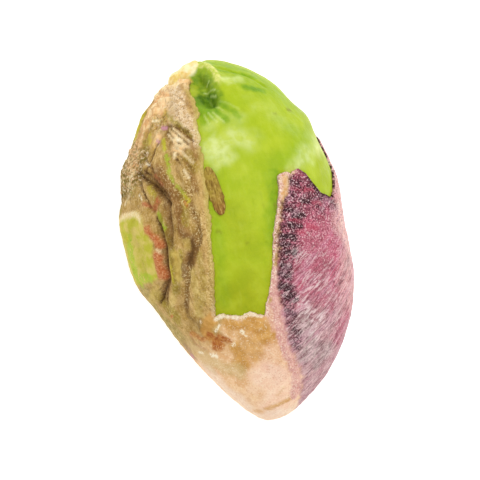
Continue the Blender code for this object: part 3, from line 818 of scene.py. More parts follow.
creases = np.maximum.reduce([crease(points, *one) for one in SKIN_CREASES])
wrinkles = (
    FOLD_WRINKLES * grain(lengthwise, 0.50, 80, 3) * left_side * (1.0 - 0.8 * lobe)
    + (CRUMBS * np.abs(grain(points, 0.40, 84, 2))
       + FINE_CRUMBS * np.abs(grain(points, 0.18, 86, 2)) - CRUMB_MIDDLE) * crumbly
    + LUMPS * np.abs(grain(points, 0.32, 98, 2)) * lumpy
    + SOFT_WRINKLES * grain(points, 0.30, 88, 3) * (1.0 - 0.5 * peach) * (1.0 - purple)
    + FIBRE_WRINKLES * grain(fibre_place, 0.30, 92, 3) * purple
    + FINE_WRINKLES * grain(points, 0.14, 96, 2)
)

# The skin's outer and inner heights, which meet the heights of the torn edge at the tear.
full = SKIN_GAP + SKIN_THICKNESS + forms - creases + wrinkles
edge_run = LEFT_EDGE_RUN - OTHER_EDGES_LESS * smooth((places - 0.7) / 0.6)
top = along_tear(EDGE_TOP, places)
top = top + (full - top) * smooth(from_front / edge_run)
below = along_tear(EDGE_BELOW, places)
below = below + (SKIN_GAP - below) * hidden - room * smooth(cover / FOLD_RUN)
top = np.maximum(top, below + LEAST_THICKNESS)
skin_points = placed(points, out, np.where(is_outer, top, below))

# Where the skin's colours lie: plan path, width and strength of each mark.
SKIN_MARKS = {
    "upper": (
        (((-1.00, 8.05), (-1.60, 7.60), (-2.20, 7.00), (-2.60, 6.40)), 1.05, 1.0),
        (((-1.10, 6.60), (-1.60, 6.90)), 0.70, 0.9),
        (((-1.50, 5.60), (-1.60, 5.10), (-1.20, 5.00)), 0.50, 0.8),
        (((-2.40, 5.94), (-2.55, 5.60)), 0.30, 0.9),
        (((-3.60, 5.90), (-4.20, 5.10)), 0.60, 0.8),
    ),
    "sandy": (
        (((-1.05, 7.80), (-0.98, 7.20), (-1.00, 6.70), (-0.75, 6.20)), 0.50, 1.0),
        (((-1.40, 7.30), (-1.20, 6.70)), 0.40, 0.7),
        (((-0.90, 6.30), (-0.68, 5.90), (-0.56, 5.45), (-0.60, 5.05)), 0.30, 0.9),
    ),
    "tan": (
        (((-0.75, 7.90), (-0.60, 7.30), (-0.50, 6.90)), 0.40, 1.0),
        (((-0.45, 7.20), (-0.35, 6.30), (-0.30, 5.30)), 0.30, 0.8),
    ),
    "cream": (
        (((-1.85, 8.05), (-1.30, 8.20), (-0.81, 8.11)), 0.26, 1.0),
        (((-1.45, 8.03), (-1.20, 7.97)), 0.20, 1.0),
        (((-1.78, 7.92), (-1.95, 7.80)), 0.22, 0.9),
        (((-2.35, 7.12), (-2.50, 6.98)), 0.20, 0.8),
        (((-1.60, 7.58), (-1.78, 7.48)), 0.16, 0.9),
        (((-2.05, 7.36), (-2.20, 7.22)), 0.22, 0.9),
        (((-4.05, 4.50), (-4.21, 4.25), (-4.50, 3.52), (-4.80, 3.10)), 0.14, 0.6),
        (((-2.42, 6.70), (-2.13, 6.62)), 0.12, 0.9),
        (((-1.60, 5.50), (-1.40, 5.40)), 0.16, 1.0),
        (((-1.80, 4.85), (-1.90, 4.70)), 0.12, 1.0),
        (((-1.60, 3.95), (-1.50, 3.55)), 0.09, 0.9),
        (((-5.40, 2.40), (-4.92, 2.52), (-4.40, 2.48), (-4.28, 2.20)), 0.20, 0.8),
        (((-3.85, 0.51), (-3.81, 0.39)), 0.12, 1.0),
        (((-1.75, 5.20), (-1.45, 4.80), (-1.10, 4.20)), 0.09, 0.6),
        (((-1.80, 6.05), (-1.26, 5.15)), 0.08, 0.65),
        (((-1.57, 6.08), (-0.95, 5.20)), 0.08, 0.7),
        (((-1.92, 5.90), (-1.58, 5.10)), 0.07, 0.8),
        (((-4.30, 5.60), (-4.75, 4.90)), 0.18, 0.7),
    ),
    "golden": (
        (((-2.48, 6.95), (-2.37, 6.38), (-2.58, 6.26)), 0.45, 0.9),
        (((-1.94, 6.62), (-2.25, 6.40)), 0.40, 0.8),
        (((-2.60, 5.90), (-2.70, 5.40)), 0.30, 0.6),
        (((-1.80, 6.95), (-2.05, 6.72)), 0.30, 0.8),
    ),
    "peachy": (
        (((-1.58, 7.96), (-2.10, 7.40), (-2.38, 7.01), (-2.74, 6.66)), 0.60, 0.9),
        (((-1.71, 7.46), (-1.90, 7.05)), 0.30, 0.7),
        (((-1.35, 7.80), (-1.75, 7.68), (-2.05, 7.52)), 0.10, 0.9),
        (((-1.92, 7.55), (-1.86, 7.30)), 0.08, 0.9),
        (((-2.40, 5.94), (-2.30, 5.80)), 0.16, 0.8),
        (((-3.75, 5.75), (-3.97, 5.40)), 0.20, 1.0),
        (((-3.62, 5.62), (-3.80, 5.25), (-4.08, 4.80)), 0.80, 0.7),
    ),
    "mauve": (
        (((-2.05, 6.23), (-1.92, 6.20)), 0.16, 1.0),
        (((-2.48, 5.70), (-2.40, 5.62)), 0.10, 0.8),
        (((-3.56, -4.94), (-3.51, -5.22)), 0.20, 0.7),
        (((3.02, 2.15), (3.06, 1.65)), 0.26, 0.8),
    ),
    "olive": (
        (((-2.64, 7.35), (-3.03, 6.92), (-3.44, 6.40), (-3.80, 5.85)), 0.75, 0.9),
        (((-1.75, 6.90), (-1.43, 6.43), (-1.03, 5.94), (-0.70, 5.47)), 0.26, 1.0),
        (((-2.75, 6.60), (-2.85, 6.20), (-3.10, 5.60)), 0.30, 0.9),
        (((-4.80, 3.90), (-5.00, 3.30)), 0.40, 0.7),
        (((-3.50, 4.05), (-3.38, 3.73), (-3.25, 3.39), (-3.30, 3.00)), 0.24, 0.8),
        (((-3.31, 2.11), (-3.24, 1.64), (-3.19, 1.17), (-3.22, 0.72)), 0.20, 0.9),
        (((-1.95, 2.70), (-1.99, 2.20), (-2.20, 1.40)), 0.24, 0.7),
        (((-3.18, 0.50), (-3.30, -0.60), (-3.50, -1.60)), 0.26, 0.9),
        (((-2.80, 0.20), (-2.90, -0.60)), 0.16, 0.8),
        (((-2.00, -0.20), (-2.10, -1.40), (-2.40, -2.60)), 0.22, 0.5),
        (((-4.46, -1.60), (-4.10, -2.20), (-3.80, -3.00)), 0.55, 0.7),
        (((-5.25, 3.10), (-5.10, 2.80)), 0.45, 0.9),
        (((-1.23, 4.63), (-1.08, 3.86)), 0.34, 0.5),
    ),
    "bright_green": (
        (((-2.17, 5.65), (-2.24, 5.13)), 0.14, 0.5),
        (((-2.23, 4.85), (-2.20, 4.40), (-2.25, 4.10)), 0.17, 0.8),
        (((-2.36, 4.11), (-2.19, 3.43), (-1.85, 2.70)), 0.12, 0.6),
        (((-5.25, 1.90), (-5.15, 1.46)), 0.42, 0.7),
        (((-5.12, 1.20), (-5.22, 0.40), (-5.15, -0.55)), 0.60, 0.75),
        (((-4.95, -0.60), (-4.60, -0.72)), 0.34, 0.8),
        (((-3.33, 2.21), (-3.34, 1.85), (-3.27, 1.47)), 0.17, 0.85),
    ),
    "yellow": (
        (((-5.45, 2.20), (-5.30, 2.00), (-5.20, 1.50)), 0.60, 0.7),
        (((-5.28, 3.00), (-5.20, 2.80)), 0.30, 0.9),
        (((-2.85, 7.00), (-3.10, 6.65), (-3.40, 6.20)), 0.55, 0.9),
        (((-1.91, 2.72), (-1.76, 2.45), (-1.96, 2.28)), 0.10, 0.9),
        (((-2.17, 5.65), (-2.22, 5.20)), 0.12, 0.9),
        (((-3.42, -0.40), (-3.50, -1.10)), 0.10, 0.8),
        (((-2.75, 6.10), (-2.85, 5.70)), 0.18, 0.7),
        (((-3.50, 3.55), (-3.40, 3.30)), 0.20, 0.5),
    ),
    "plateau": (
        (((-2.79, 4.25), (-2.50, 3.34), (-2.35, 2.53), (-2.36, 1.77), (-2.40, 1.00)), 0.40, 1.0),
        (((-1.22, 5.97), (-0.83, 5.42), (-0.95, 4.60)), 0.38, 0.8),
        (((-1.20, 4.80), (-1.25, 3.80), (-1.35, 2.90)), 0.26, 0.8),
        (((-3.10, 4.60), (-3.00, 3.90)), 0.20, 0.8),
    ),
    # Dark marks: dark lines along the creases, partly the skin's own brown lines and partly painted shade in
    # the creases.
    "dark": (
        (((-3.92, 4.56), (-3.76, 4.29), (-3.48, 3.95), (-3.19, 3.60), (-3.00, 3.21), (-2.85, 2.90),
          (-2.72, 2.56)), 0.10, 1.0),
        (((-3.49, 4.44), (-3.21, 4.10), (-2.96, 3.61), (-2.83, 3.27), (-2.67, 2.89)), 0.08, 0.9),
        (((-3.27, 4.96), (-3.06, 4.37), (-2.87, 3.79)), 0.08, 0.8),
        (((-3.84, 3.86), (-3.81, 3.43), (-3.73, 3.03), (-3.65, 2.62)), 0.10, 0.9),
        (((-2.75, 2.57), (-2.85, 2.14), (-2.95, 1.71)), 0.07, 0.6),
        (((-3.55, 2.03), (-3.50, 1.63), (-3.49, 1.25), (-3.51, 0.65), (-3.59, 0.06), (-3.71, -0.51),
          (-3.72, -0.85)), 0.08, 0.8),
        (((-3.74, -0.88), (-3.96, -1.28), (-4.22, -1.66), (-4.42, -1.99)), 0.08, 1.0),
        (((-3.67, -0.95), (-3.92, -1.50), (-4.05, -2.10)), 0.07, 0.9),
        (((-3.72, -0.85), (-4.15, -1.25), (-4.60, -1.55)), 0.06, 0.7),
        (((-2.39, 5.66), (-2.95, 4.92), (-3.47, 4.34)), 0.07, 0.8),
        (((-2.20, 0.20), (-2.42, -0.25), (-2.60, -0.50)), 0.16, 0.7),
        (((-2.22, 0.50), (-2.27, 0.03), (-2.44, -0.28)), 0.09, 0.8),
        (((-1.93, 6.00), (-1.50, 5.30)), 0.06, 0.9),
        (((-1.68, 6.10), (-1.09, 5.13)), 0.06, 0.9),
        (((-1.45, 6.12), (-0.80, 5.23)), 0.06, 0.9),
        (((-1.65, 1.05), (-1.63, 0.66), (-1.81, 0.26), (-2.05, 0.00)), 0.08, 0.7),
        (((-3.25, -2.28), (-3.32, -2.93), (-2.92, -3.48), (-2.85, -4.02)), 0.12, 0.5),
        (((-2.61, 7.10), (-3.05, 6.60), (-3.31, 6.20)), 0.10, 0.6),
        (((-1.90, 6.25), (-1.35, 6.15), (-0.95, 5.70)), 0.12, 0.7),
        (((-1.78, 4.58), (-1.76, 4.52)), 0.09, 1.0),
        (((-1.85, 4.95), (-1.62, 4.70), (-1.25, 4.00)), 0.07, 0.7),
    ),
    "shade": (
        (((-2.19, 0.64), (-2.27, 0.03), (-2.64, -0.50), (-3.03, -0.93)), 0.42, 0.9),
        (((-2.75, 2.90), (-3.00, 1.60), (-3.15, 0.60)), 0.30, 0.7),
        (((-3.62, 0.60), (-3.74, -0.90), (-4.20, -1.80)), 0.30, 0.7),
        (((-3.60, 4.20), (-3.00, 3.40), (-2.75, 2.80)), 0.34, 0.7),
        (((-1.72, 2.30), (-1.68, 1.20), (-1.95, 0.20)), 0.22, 0.5),
        (((-2.70, -0.70), (-2.84, -1.18), (-3.05, -1.88), (-3.25, -2.50)), 0.20, 0.6),
        (((-2.70, -3.30), (-2.50, -3.90)), 0.14, 0.4),
    ),
    "grains": (
        (((-1.53, 3.88), (-1.54, 3.16), (-1.92, 2.45), (-1.66, 1.75), (-1.59, 1.01),
          (-1.86, 0.37)), 0.30, 1.0),
        (((-2.60, 4.30), (-2.20, 3.20), (-1.95, 2.50)), 0.20, 0.7),
        (((-2.70, -0.70), (-2.84, -1.18), (-3.05, -1.88), (-3.25, -2.50)), 0.24, 1.0),
        (((-1.20, 1.60), (-1.35, 0.20), (-1.80, -1.60), (-2.10, -3.00)), 0.20, 0.7),
    ),
    "rust": (
        (((-4.08, 1.62), (-3.85, 1.20), (-3.68, 0.72)), 0.28, 1.0),
        (((-3.95, 0.18), (-4.00, -0.20), (-3.93, -0.68)), 0.38, 1.0),
        (((-3.91, 2.92), (-3.80, 2.80)), 0.12, 0.8),
        (((-3.42, -3.93), (-3.29, -4.40), (-2.95, -4.80)), 0.12, 0.8),
        (((-1.99, 2.44), (-1.91, 2.19)), 0.07, 0.9),
        (((-1.51, -8.49), (-1.31, -8.72)), 0.22, 0.4),
        (((-4.05, -2.80), (-3.95, -2.75)), 0.08, 0.8),
    ),
    "reddish": (
        (((-3.23, 2.93), (-3.36, 2.58), (-3.52, 2.50)), 0.16, 0.9),
        (((-3.00, 4.05), (-2.80, 3.50)), 0.12, 0.6),
        (((-3.95, 2.92), (-3.50, 2.60), (-3.15, 2.80)), 0.13, 0.7),
    ),
    "band": (
        (((-1.02, 3.30), (-1.14, 1.67), (-1.35, 0.70), (-1.66, -0.47), (-2.03, -1.58),
          (-2.26, -2.60)), 0.36, 1.0),
    ),
    "straw": (
        (((-2.50, -0.90), (-2.57, -2.03), (-2.67, -2.99)), 0.32, 0.9),
        (((-3.33, -1.37), (-3.71, -1.93), (-4.00, -2.60)), 0.26, 0.8),
        (((-1.91, -1.43), (-2.20, -2.68)), 0.20, 0.4),
        (((-2.72, 0.14), (-2.84, -0.45), (-3.05, -0.97)), 0.16, 0.6),
    ),
    "stain": (
        (((-3.75, -4.45), (-3.50, -5.00)), 0.40, 0.6),
    ),
    "low_left": (
        (((-4.98, -1.31), (-4.69, -2.18), (-4.01, -3.84), (-3.37, -5.13)), 0.90, 1.0),
    ),
    "beige": (
        (((-1.27, -3.93), (-0.21, -4.21), (0.20, -5.00)), 0.75, 1.0),
        (((-1.31, -5.21), (-1.43, -5.96)), 0.60, 1.0),
        (((-0.80, -4.60), (-0.60, -5.60)), 0.70, 0.7),
        (((-2.30, -3.50), (-2.60, -4.20)), 0.50, 0.9),
        (((-0.79, -8.42), (-0.25, -8.38), (0.40, -8.22)), 0.14, 0.9),
    ),
    "green_beige": (
        (((-2.75, -5.45), (-2.30, -5.90), (-1.69, -6.25)), 0.75, 0.9),
        (((-3.40, -4.60), (-2.90, -5.50)), 0.80, 0.7),
    ),
    "pit": (
        (((-2.50, -4.25), (-2.30, -4.75), (-2.05, -4.50), (-1.80, -4.62)), 0.36, 1.0),
        (((-3.28, -3.87), (-3.05, -4.15)), 0.24, 0.7),
        (((-2.95, -4.30), (-2.60, -4.30)), 0.18, 0.7),
        (((-2.35, -4.80), (-2.10, -4.85)), 0.34, 0.9),
    ),
    "crumbs": (
        (((-0.95, -4.40), (-0.93, -4.50)), 0.13, 1.0),
        (((-0.82, -4.69), (-0.78, -4.72)), 0.07, 1.0),
        (((-1.54, -4.94), (-1.46, -4.94)), 0.10, 1.0),
        (((-2.65, -5.16), (-2.40, -5.26)), 0.15, 1.0),
        (((-3.15, -4.86), (-3.05, -4.92)), 0.09, 0.9),
        (((-2.16, -4.06), (-1.90, -3.82)), 0.07, 1.0),
        (((-2.78, -3.44), (-2.75, -3.48)), 0.08, 1.0),
        (((-2.05, -3.52), (-1.68, -3.48), (-1.20, -3.64), (-0.75, -3.80), (-0.40, -3.72),
          (0.10, -3.95)), 0.11, 0.8),
        (((-4.50, 5.16), (-4.16, 5.43)), 0.13, 0.7),
        (((-4.75, 4.30), (-4.90, 3.90)), 0.18, 0.8),
        (((-1.50, 5.47), (-1.44, 5.44)), 0.09, 1.0),
        (((-3.30, 4.75), (-3.15, 4.65)), 0.08, 0.9),
        (((-4.00, 3.40), (-3.95, 3.10)), 0.07, 0.8),
    ),
    "pink_band": (
        (((1.30, -2.00), (1.09, -2.43), (0.95, -3.43), (0.90, -4.38), (0.82, -5.17), (0.80, -6.11),
          (0.92, -7.10), (0.65, -8.10)), 0.38, 1.0),
        (((0.60, -3.60), (0.55, -4.60)), 0.30, 0.6),
        (((0.35, -5.60), (-0.10, -6.20), (0.30, -6.90)), 0.70, 0.25),
    ),
    "tip": (
        (((-0.10, -7.10), (0.09, -7.85), (-0.33, -8.45)), 1.30, 0.9),
        (((-0.40, -6.60), (-1.10, -7.40)), 0.60, 0.5),
    ),
    # Paler along the outer side of the pointed end: a painted sheen at its edge.
    "pale_side": (
        (((-2.85, -6.20), (-1.75, -8.00), (-1.00, -8.85), (-0.20, -9.00), (0.60, -8.70)), 1.20, 0.8),
    ),
    "tip_fold": (
        (((-1.29, -8.42), (-0.49, -8.34), (0.45, -8.15)), 0.25, 0.9),
        (((-0.20, -7.90), (0.20, -7.60)), 0.10, 0.6),
    ),
    "rose": (
        (((4.40, 1.20), (4.10, 0.60), (3.43, -0.28), (2.95, -0.50)), 0.60, 0.8),
        (((4.30, -1.20), (4.28, -2.99), (4.30, -4.67), (3.99, -5.22), (3.51, -5.80)), 0.90, 0.9),
        (((3.16, -2.44), (2.60, -3.40)), 0.60, 0.3),
        (((2.17, -3.13), (2.60, -2.60)), 0.40, 0.4),
        (((3.41, -4.42), (3.10, -3.90)), 0.40, 0.6),
        (((2.40, -1.40), (2.70, -2.20)), 0.30, 0.6),
    ),
    "vein": (
        (((3.00, 2.10), (2.82, 1.05), (2.50, 0.11), (2.25, -1.14)), 0.75, 0.9),
        (((1.98, -0.90), (1.75, -2.32), (1.65, -3.40)), 0.50, 0.9),
        (((1.70, -2.90), (1.55, -3.64), (1.45, -4.66), (1.40, -5.80)), 0.40, 0.75),
        (((3.10, 1.70), (3.70, 1.15), (4.30, 0.80)), 0.80, 0.75),
        (((3.60, 0.60), (4.20, 0.10)), 0.60, 0.45),
        (((2.60, -0.40), (2.30, -1.50)), 0.60, 0.6),
        (((3.10, 2.05), (3.70, 1.62), (4.40, 1.00)), 0.42, 0.9),
        (((3.30, 1.30), (3.10, 0.40)), 0.50, 0.7),
    ),
    "vein_core": (
        # The first row is the dark band under the torn rim beside the tooth, a painted shadow.
        (((4.05, 1.90), (4.30, 1.30), (4.60, 0.80), (4.95, 0.52)), 0.17, 0.9),
        (((3.42, 1.00), (3.90, 0.84)), 0.18, 0.9),
        (((2.56, 0.78), (2.92, 0.66)), 0.14, 0.9),
        (((2.90, 0.42), (3.36, 0.30)), 0.22, 1.0),
        (((2.58, -0.05), (3.08, -0.18)), 0.20, 1.0),
        (((2.12, -0.46), (2.56, -0.60)), 0.24, 1.0),
        (((1.96, -0.84), (2.24, -0.92)), 0.20, 1.0),
        (((2.06, -1.24), (2.46, -1.38)), 0.20, 1.0),
        (((1.76, -1.86), (2.06, -2.00)), 0.22, 1.0),
        (((1.58, -2.24), (1.90, -2.38)), 0.24, 1.0),
        (((1.40, -2.76), (1.76, -3.00)), 0.26, 1.0),
        (((1.60, -3.36), (1.90, -3.60)), 0.22, 1.0),
        (((1.34, -4.02), (1.66, -4.30)), 0.20, 1.0),
        (((1.46, -5.00), (1.70, -5.22)), 0.18, 0.9),
        (((1.24, -5.62), (1.50, -5.84)), 0.13, 0.7),
        (((2.62, 1.50), (2.90, 1.35)), 0.14, 0.8),
        (((3.00, 2.25), (3.30, 2.00)), 0.12, 0.8),
    ),
    "crimson": (
        (((3.70, 1.48), (4.10, 1.36)), 0.14, 1.0),
        (((3.90, 0.80), (4.30, 0.68)), 0.12, 0.8),
        (((3.40, -0.30), (3.80, -0.50)), 0.20, 0.9),
        (((2.70, 0.24), (3.05, 0.12)), 0.10, 1.0),
        (((2.85, -0.42), (3.25, -0.58)), 0.12, 0.9),
        (((4.00, 0.05), (4.25, -0.05)), 0.12, 0.7),
        (((3.10, 1.70), (3.50, 1.60)), 0.12, 0.7),
    ),
    # A pale painted light along the purple side's outer edge.
    "edge_painted_light": (
        (((5.50, 2.60), (5.45, 1.07), (5.34, 0.31), (5.21, -0.45)), 2.70, 1.0),
        (((5.30, -0.40), (5.10, -1.97), (4.80, -3.40)), 1.90, 0.6),
    ),
    "light": (
        (((2.80, -2.60), (3.24, -3.02)), 0.50, 0.7),
        (((2.54, -4.67), (2.20, -4.10)), 0.50, 0.8),
        (((3.15, -4.41), (2.90, -4.90)), 0.50, 0.7),
        (((2.71, -4.90), (2.35, -5.40)), 0.50, 0.7),
        (((2.60, -1.50), (3.00, -1.90)), 0.50, 0.5),
        (((4.66, 0.73), (4.85, 0.52)), 0.08, 1.0),
        (((3.27, -0.56), (3.33, -0.66)), 0.08, 1.0),
    ),
    "grey": (
        (((1.69, -6.34), (2.14, -6.14), (2.58, -6.58)), 0.70, 0.9),
        (((2.20, -6.80), (2.00, -5.40), (2.10, -4.40)), 0.60, 0.8),
    ),
    "flap": (
        (((2.95, 2.52), (2.86, 2.00), (2.58, 1.45)), 0.32, 1.0),
        (((3.05, 2.52), (3.40, 2.42)), 0.10, 0.9),
        (((2.20, 0.80), (2.10, 0.45)), 0.10, 0.6),
    ),
    # A painted shadow under the torn rim beside the tooth.
    "rim_painted_shadow": (
        (((3.78, 1.75), (4.00, 1.15), (4.30, 0.75)), 0.62, 0.75),
        (((4.36, 1.12), (4.75, 0.58), (5.00, 0.42)), 0.44, 0.90),
    ),
    "lit_ridge": (
        (((-3.06, 0.10), (-3.08, -0.45), (-3.20, -1.00)), 0.28, 0.85),
        (((-2.42, 0.62), (-2.44, 0.25)), 0.24, 0.5),
        (((-4.42, -1.20), (-4.80, -1.80)), 0.34, 0.5),
    ),
}
skin_masks = {
    name: marks(points, table, 300 + 60 * k, 1.7)
    for k, (name, table) in enumerate(SKIN_MARKS.items())
}
tan_side = (1.0 - purple) * (1.0 - peach) * (1.0 - 0.7 * lobe) * (1.0 - 0.8 * skin_masks["upper"])
rim_noise = 0.10 * grain(points, 0.30, 140, 2) + 0.06 * grain(points, 0.12, 141, 2)
dark_width = 0.20 - 0.15 * smooth((places - 4.6) / 0.6) + rim_noise


def rim(width, first, last, sharp=4.0, firm=1.6):
    """1 at the torn edge and down to 0 at that width from it, between two places along the tear,
    where it comes in and goes out more quickly the sharper it is."""
    beside_edge = smooth(firm * (1.0 - from_front / np.maximum(width, 0.02)))
    return beside_edge * np.clip(np.minimum(places - first, last - places) * sharp, 0.0, 1.0)


skin_masks.update({
    "purple": purple, "lobe": lobe, "crumbly": crumbly, "lumpy": lumpy, "peach": peach,
    # From the relief: painted shade in the furrows, the creases and the sunk wrinkles, and painted
    # highlights on the wrinkles' crests.
    "furrow_painted_shade": smooth(-forms / 0.26), "tan_side": tan_side,
    "crease_painted_shade": smooth(creases / 0.12),
    "sunk": smooth(-wrinkles / 0.06) * (1.0 - purple),
    "crest_painted_highlight": smooth((wrinkles - 0.02) / 0.08) * (1.0 - purple),
    "fibrous": purple * smooth((0.4 - points[:, 1]) / 4.0),
    "speckly": purple * (0.35 + 0.65 * smooth((points[:, 1] + 3.0) / 3.0)),
    "lilac": purple * smooth((-2.6 - points[:, 1]) / 3.2),
    "low_rim": rim(0.24 + rim_noise, 0.9, 2.0, sharp=5.0),
    "thin_edge": rim(0.30, -0.2, 1.0, firm=1.0),
    "pale_rim": rim(0.22 + 1.3 * rim_noise, 1.0, 3.95),
    "dark_rim": rim(dark_width, 3.9, 7.6),
})
skin_faces = closed_grid(OUTER_ROWS + INNER_ROWS, SKIN_COLUMNS)
rows = np.arange(SKIN_COLUMNS)
last = (OUTER_ROWS + INNER_ROWS - 1) * SKIN_COLUMNS
join = np.stack((last + rows, last + np.roll(rows, -1), np.roll(rows, -1), rows), axis=1)
skin_faces = np.concatenate((skin_faces, join))
skin = mesh_piece("dried_skin", skin_points, skin_faces, skin_masks, flat)

finish = Finish(
    "dried_skin", (tone(204, 168, 104), tone(176, 140, 70), 0.6), 0.75, Specular_IOR_Level=0.12,
)

# What breaks up its colours: fibres and strands run along the turned map, salt, blots and crumbs
# are even, streaks run lengthwise, and the cells' edges are the cracks between lumps.
spread = finish.add("UVMap", uv_map="flat_map").outputs["UV"]
turn = finish.add("Mapping", {
    "Vector": spread, "Rotation": (0.0, 0.0, turned),
    "Scale": (5.0 / FLAT_SPAN, 1.0 / FLAT_SPAN, 1.0 / FLAT_SPAN),
}, vector_type="TEXTURE").outputs["Vector"]
fibres = finish.lumps(0.10, 4.0, turn, 0.62, 1.4)
strands = finish.lumps(0.40, 3.0, turn, 0.55, 1.0)
salt = finish.lumps(0.08, 2.0)
blots = finish.lumps(0.30, 4.0, None, 0.6, 0.6)
crumb_noise = finish.lumps(0.15, 5.0, None, 0.65)
shake = finish.add("TexNoise", {"Vector": finish.place, "Scale": 1.0 / (0.5 * MM), "Detail": 3.0})
shaken = finish.add("VectorMath", {
    0: shake.outputs["Color"], 1: (0.4 * MM,) * 3, 2: finish.place,
}, operation="MULTIPLY_ADD")
cells = finish.add("TexVoronoi", {
    "Vector": shaken.outputs[0], "Scale": 1.0 / (0.36 * MM),
}, feature="DISTANCE_TO_EDGE").outputs["Distance"]
streaky = finish.drawn_out(0.13, 5.0, 0.25)


def speckled(mask, noise, low, high, strength=1.0):
    """The mask broken up by a noise: it stays where the noise is past the middle of low..high, on
    the side of high."""
    return finish.product(finish.product(finish.mask(mask), finish.between(noise, low, high)), strength)


# The left side: a tan ground with streaks and grains, the folds with painted shade and highlights, the lobe,
# the crumbs and rust.
finish.coat("upper", (tone(255, 230, 182), tone(246, 200, 140), 0.35))
finish.coat("low_left", (tone(192, 168, 100), tone(164, 142, 72), 0.35))
finish.coat("band", (tone(212, 176, 110), tone(190, 152, 86), 0.35))
finish.coat("straw", (tone(220, 194, 118), tone(196, 166, 84), 0.3), 0.9)
finish.coat("plateau", (tone(162, 120, 66), tone(138, 98, 48), 0.35))
finish.coat("olive", (tone(168, 152, 44), tone(142, 122, 36), 0.25), 0.85)
finish.coat("tan", (tone(202, 162, 100), tone(176, 136, 78), 0.3))
finish.coat("sandy", (tone(242, 214, 172), tone(218, 182, 132), 0.2))
finish.coat(finish.between(streaky, 0.52, 0.70, 0.0, 0.42), tone(240, 212, 148))
finish.coat(finish.between(streaky, 0.48, 0.30, 0.0, 0.42), tone(122, 88, 40))
finish.coat("shade", (tone(132, 92, 48), tone(100, 66, 34), 0.25), 0.85)
finish.coat(speckled("tan_side", salt, 0.54, 0.68, 0.30), tone(246, 222, 170))
finish.coat(speckled("tan_side", salt, 0.46, 0.32, 0.22), tone(118, 84, 40))
finish.coat(speckled("grains", salt, 0.54, 0.66, 0.6), tone(244, 222, 166))
finish.coat(speckled("grains", salt, 0.48, 0.38, 0.55), tone(120, 84, 38))
finish.coat("golden", (tone(232, 192, 98), tone(178, 130, 52), 0.16), 0.9)
finish.coat(speckled("sandy", salt, 0.54, 0.68, 0.8), tone(250, 236, 208))
finish.coat(speckled("sandy", salt, 0.46, 0.32, 0.6), tone(160, 118, 70))
finish.coat("lobe", (tone(218, 198, 106), tone(188, 184, 54), 0.6))
finish.coat(speckled("bright_green", blots, 0.36, 0.50, 0.9), (tone(146, 188, 24), tone(178, 200, 54), 0.3))
# Painted shade along the creases.
finish.coat(speckled("crease_painted_shade", crumb_noise, 0.36, 0.50, 0.6), (tone(112, 76, 36), tone(92, 62, 28), 0.2))
finish.coat(speckled("crumbly", blots, 0.53, 0.60, 0.6), tone(232, 180, 132))
finish.coat(speckled("crumbly", blots, 0.47, 0.40, 0.6), tone(158, 152, 48))
finish.coat(speckled("crumbly", crumb_noise, 0.55, 0.61, 0.75), tone(244, 230, 190))
finish.coat(speckled("crumbly", crumb_noise, 0.49, 0.43, 0.85), tone(108, 94, 36))
# Painted shade in the sunk wrinkles and furrows, and painted highlights on the crests.
finish.coat("sunk", tone(116, 84, 38), 0.30)
finish.coat("crest_painted_highlight", tone(238, 210, 160), 0.35)
finish.coat("furrow_painted_shade", (tone(140, 102, 56), tone(114, 82, 42), 0.3), 0.5)
# Dark lines along the creases: partly the skin's own colour, partly painted shade.
finish.coat(speckled("dark", crumb_noise, 0.34, 0.50, 0.85), (tone(74, 48, 22), tone(104, 70, 34), 0.2))
finish.coat("peachy", (tone(255, 222, 166), tone(236, 176, 120), 0.22), 0.85)
finish.coat("yellow", (tone(204, 192, 50), tone(184, 168, 44), 0.2), 0.85)
finish.coat("lit_ridge", (tone(220, 194, 108), tone(202, 172, 84), 0.25))
finish.coat("cream", (tone(252, 234, 190), tone(242, 212, 156), 0.12))
finish.coat(speckled("lumpy", cells, 0.14, 0.02, 0.5), tone(196, 138, 84))
finish.coat(speckled("crumbly", cells, 0.12, 0.02, 0.35), tone(112, 92, 44))
finish.coat(speckled("crumbly", crumb_noise, 0.56, 0.62, 0.4), tone(250, 232, 196))
finish.coat(speckled("crumbly", crumb_noise, 0.47, 0.41, 0.5), tone(116, 104, 40))
finish.coat("rust", (tone(186, 96, 50), tone(210, 136, 86), 0.14), 0.9)
finish.coat(speckled("rust", salt, 0.55, 0.66, 0.5), tone(240, 196, 146))
finish.coat(speckled("rust", salt, 0.44, 0.34, 0.4), tone(136, 66, 34))
finish.coat("reddish", (tone(188, 96, 66), tone(160, 90, 52), 0.1), 0.8)

# The pointed end: peach, paler along its outer side as a painted sheen, with beige, a pit, pale crumbs and a
# pink band beside the purple.
finish.coat("peach", (tone(246, 206, 160), tone(230, 180, 128), 0.5))
finish.coat("tip", (tone(255, 222, 194), tone(248, 206, 176), 0.4))
# A painted sheen along the outer side of the pointed end.
finish.coat("pale_side", (tone(250, 228, 206), tone(242, 212, 186), 0.4), 0.9)
finish.coat("beige", (tone(218, 166, 90), tone(194, 140, 64), 0.4), 0.95)
finish.coat("tip_fold", (tone(214, 160, 100), tone(232, 186, 132), 0.2), 0.8)
finish.coat("green_beige", (tone(216, 192, 138), tone(200, 176, 116), 0.4), 0.6)
finish.coat("pit", (tone(164, 88, 34), tone(200, 136, 68), 0.16))
finish.coat("stain", (tone(150, 120, 88), tone(176, 140, 112), 0.2))
finish.coat(speckled("crumbs", salt, 0.36, 0.48, 0.9), tone(255, 244, 214))
finish.coat("pink_band", (tone(232, 182, 168), tone(212, 156, 148), 0.3))
finish.coat(speckled("pink_band", salt, 0.55, 0.66, 0.5), tone(252, 226, 208))
finish.coat(speckled("pink_band", salt, 0.46, 0.36, 0.4), tone(198, 130, 118))
finish.coat(speckled("peach", salt, 0.55, 0.70, 0.5), tone(255, 238, 206))
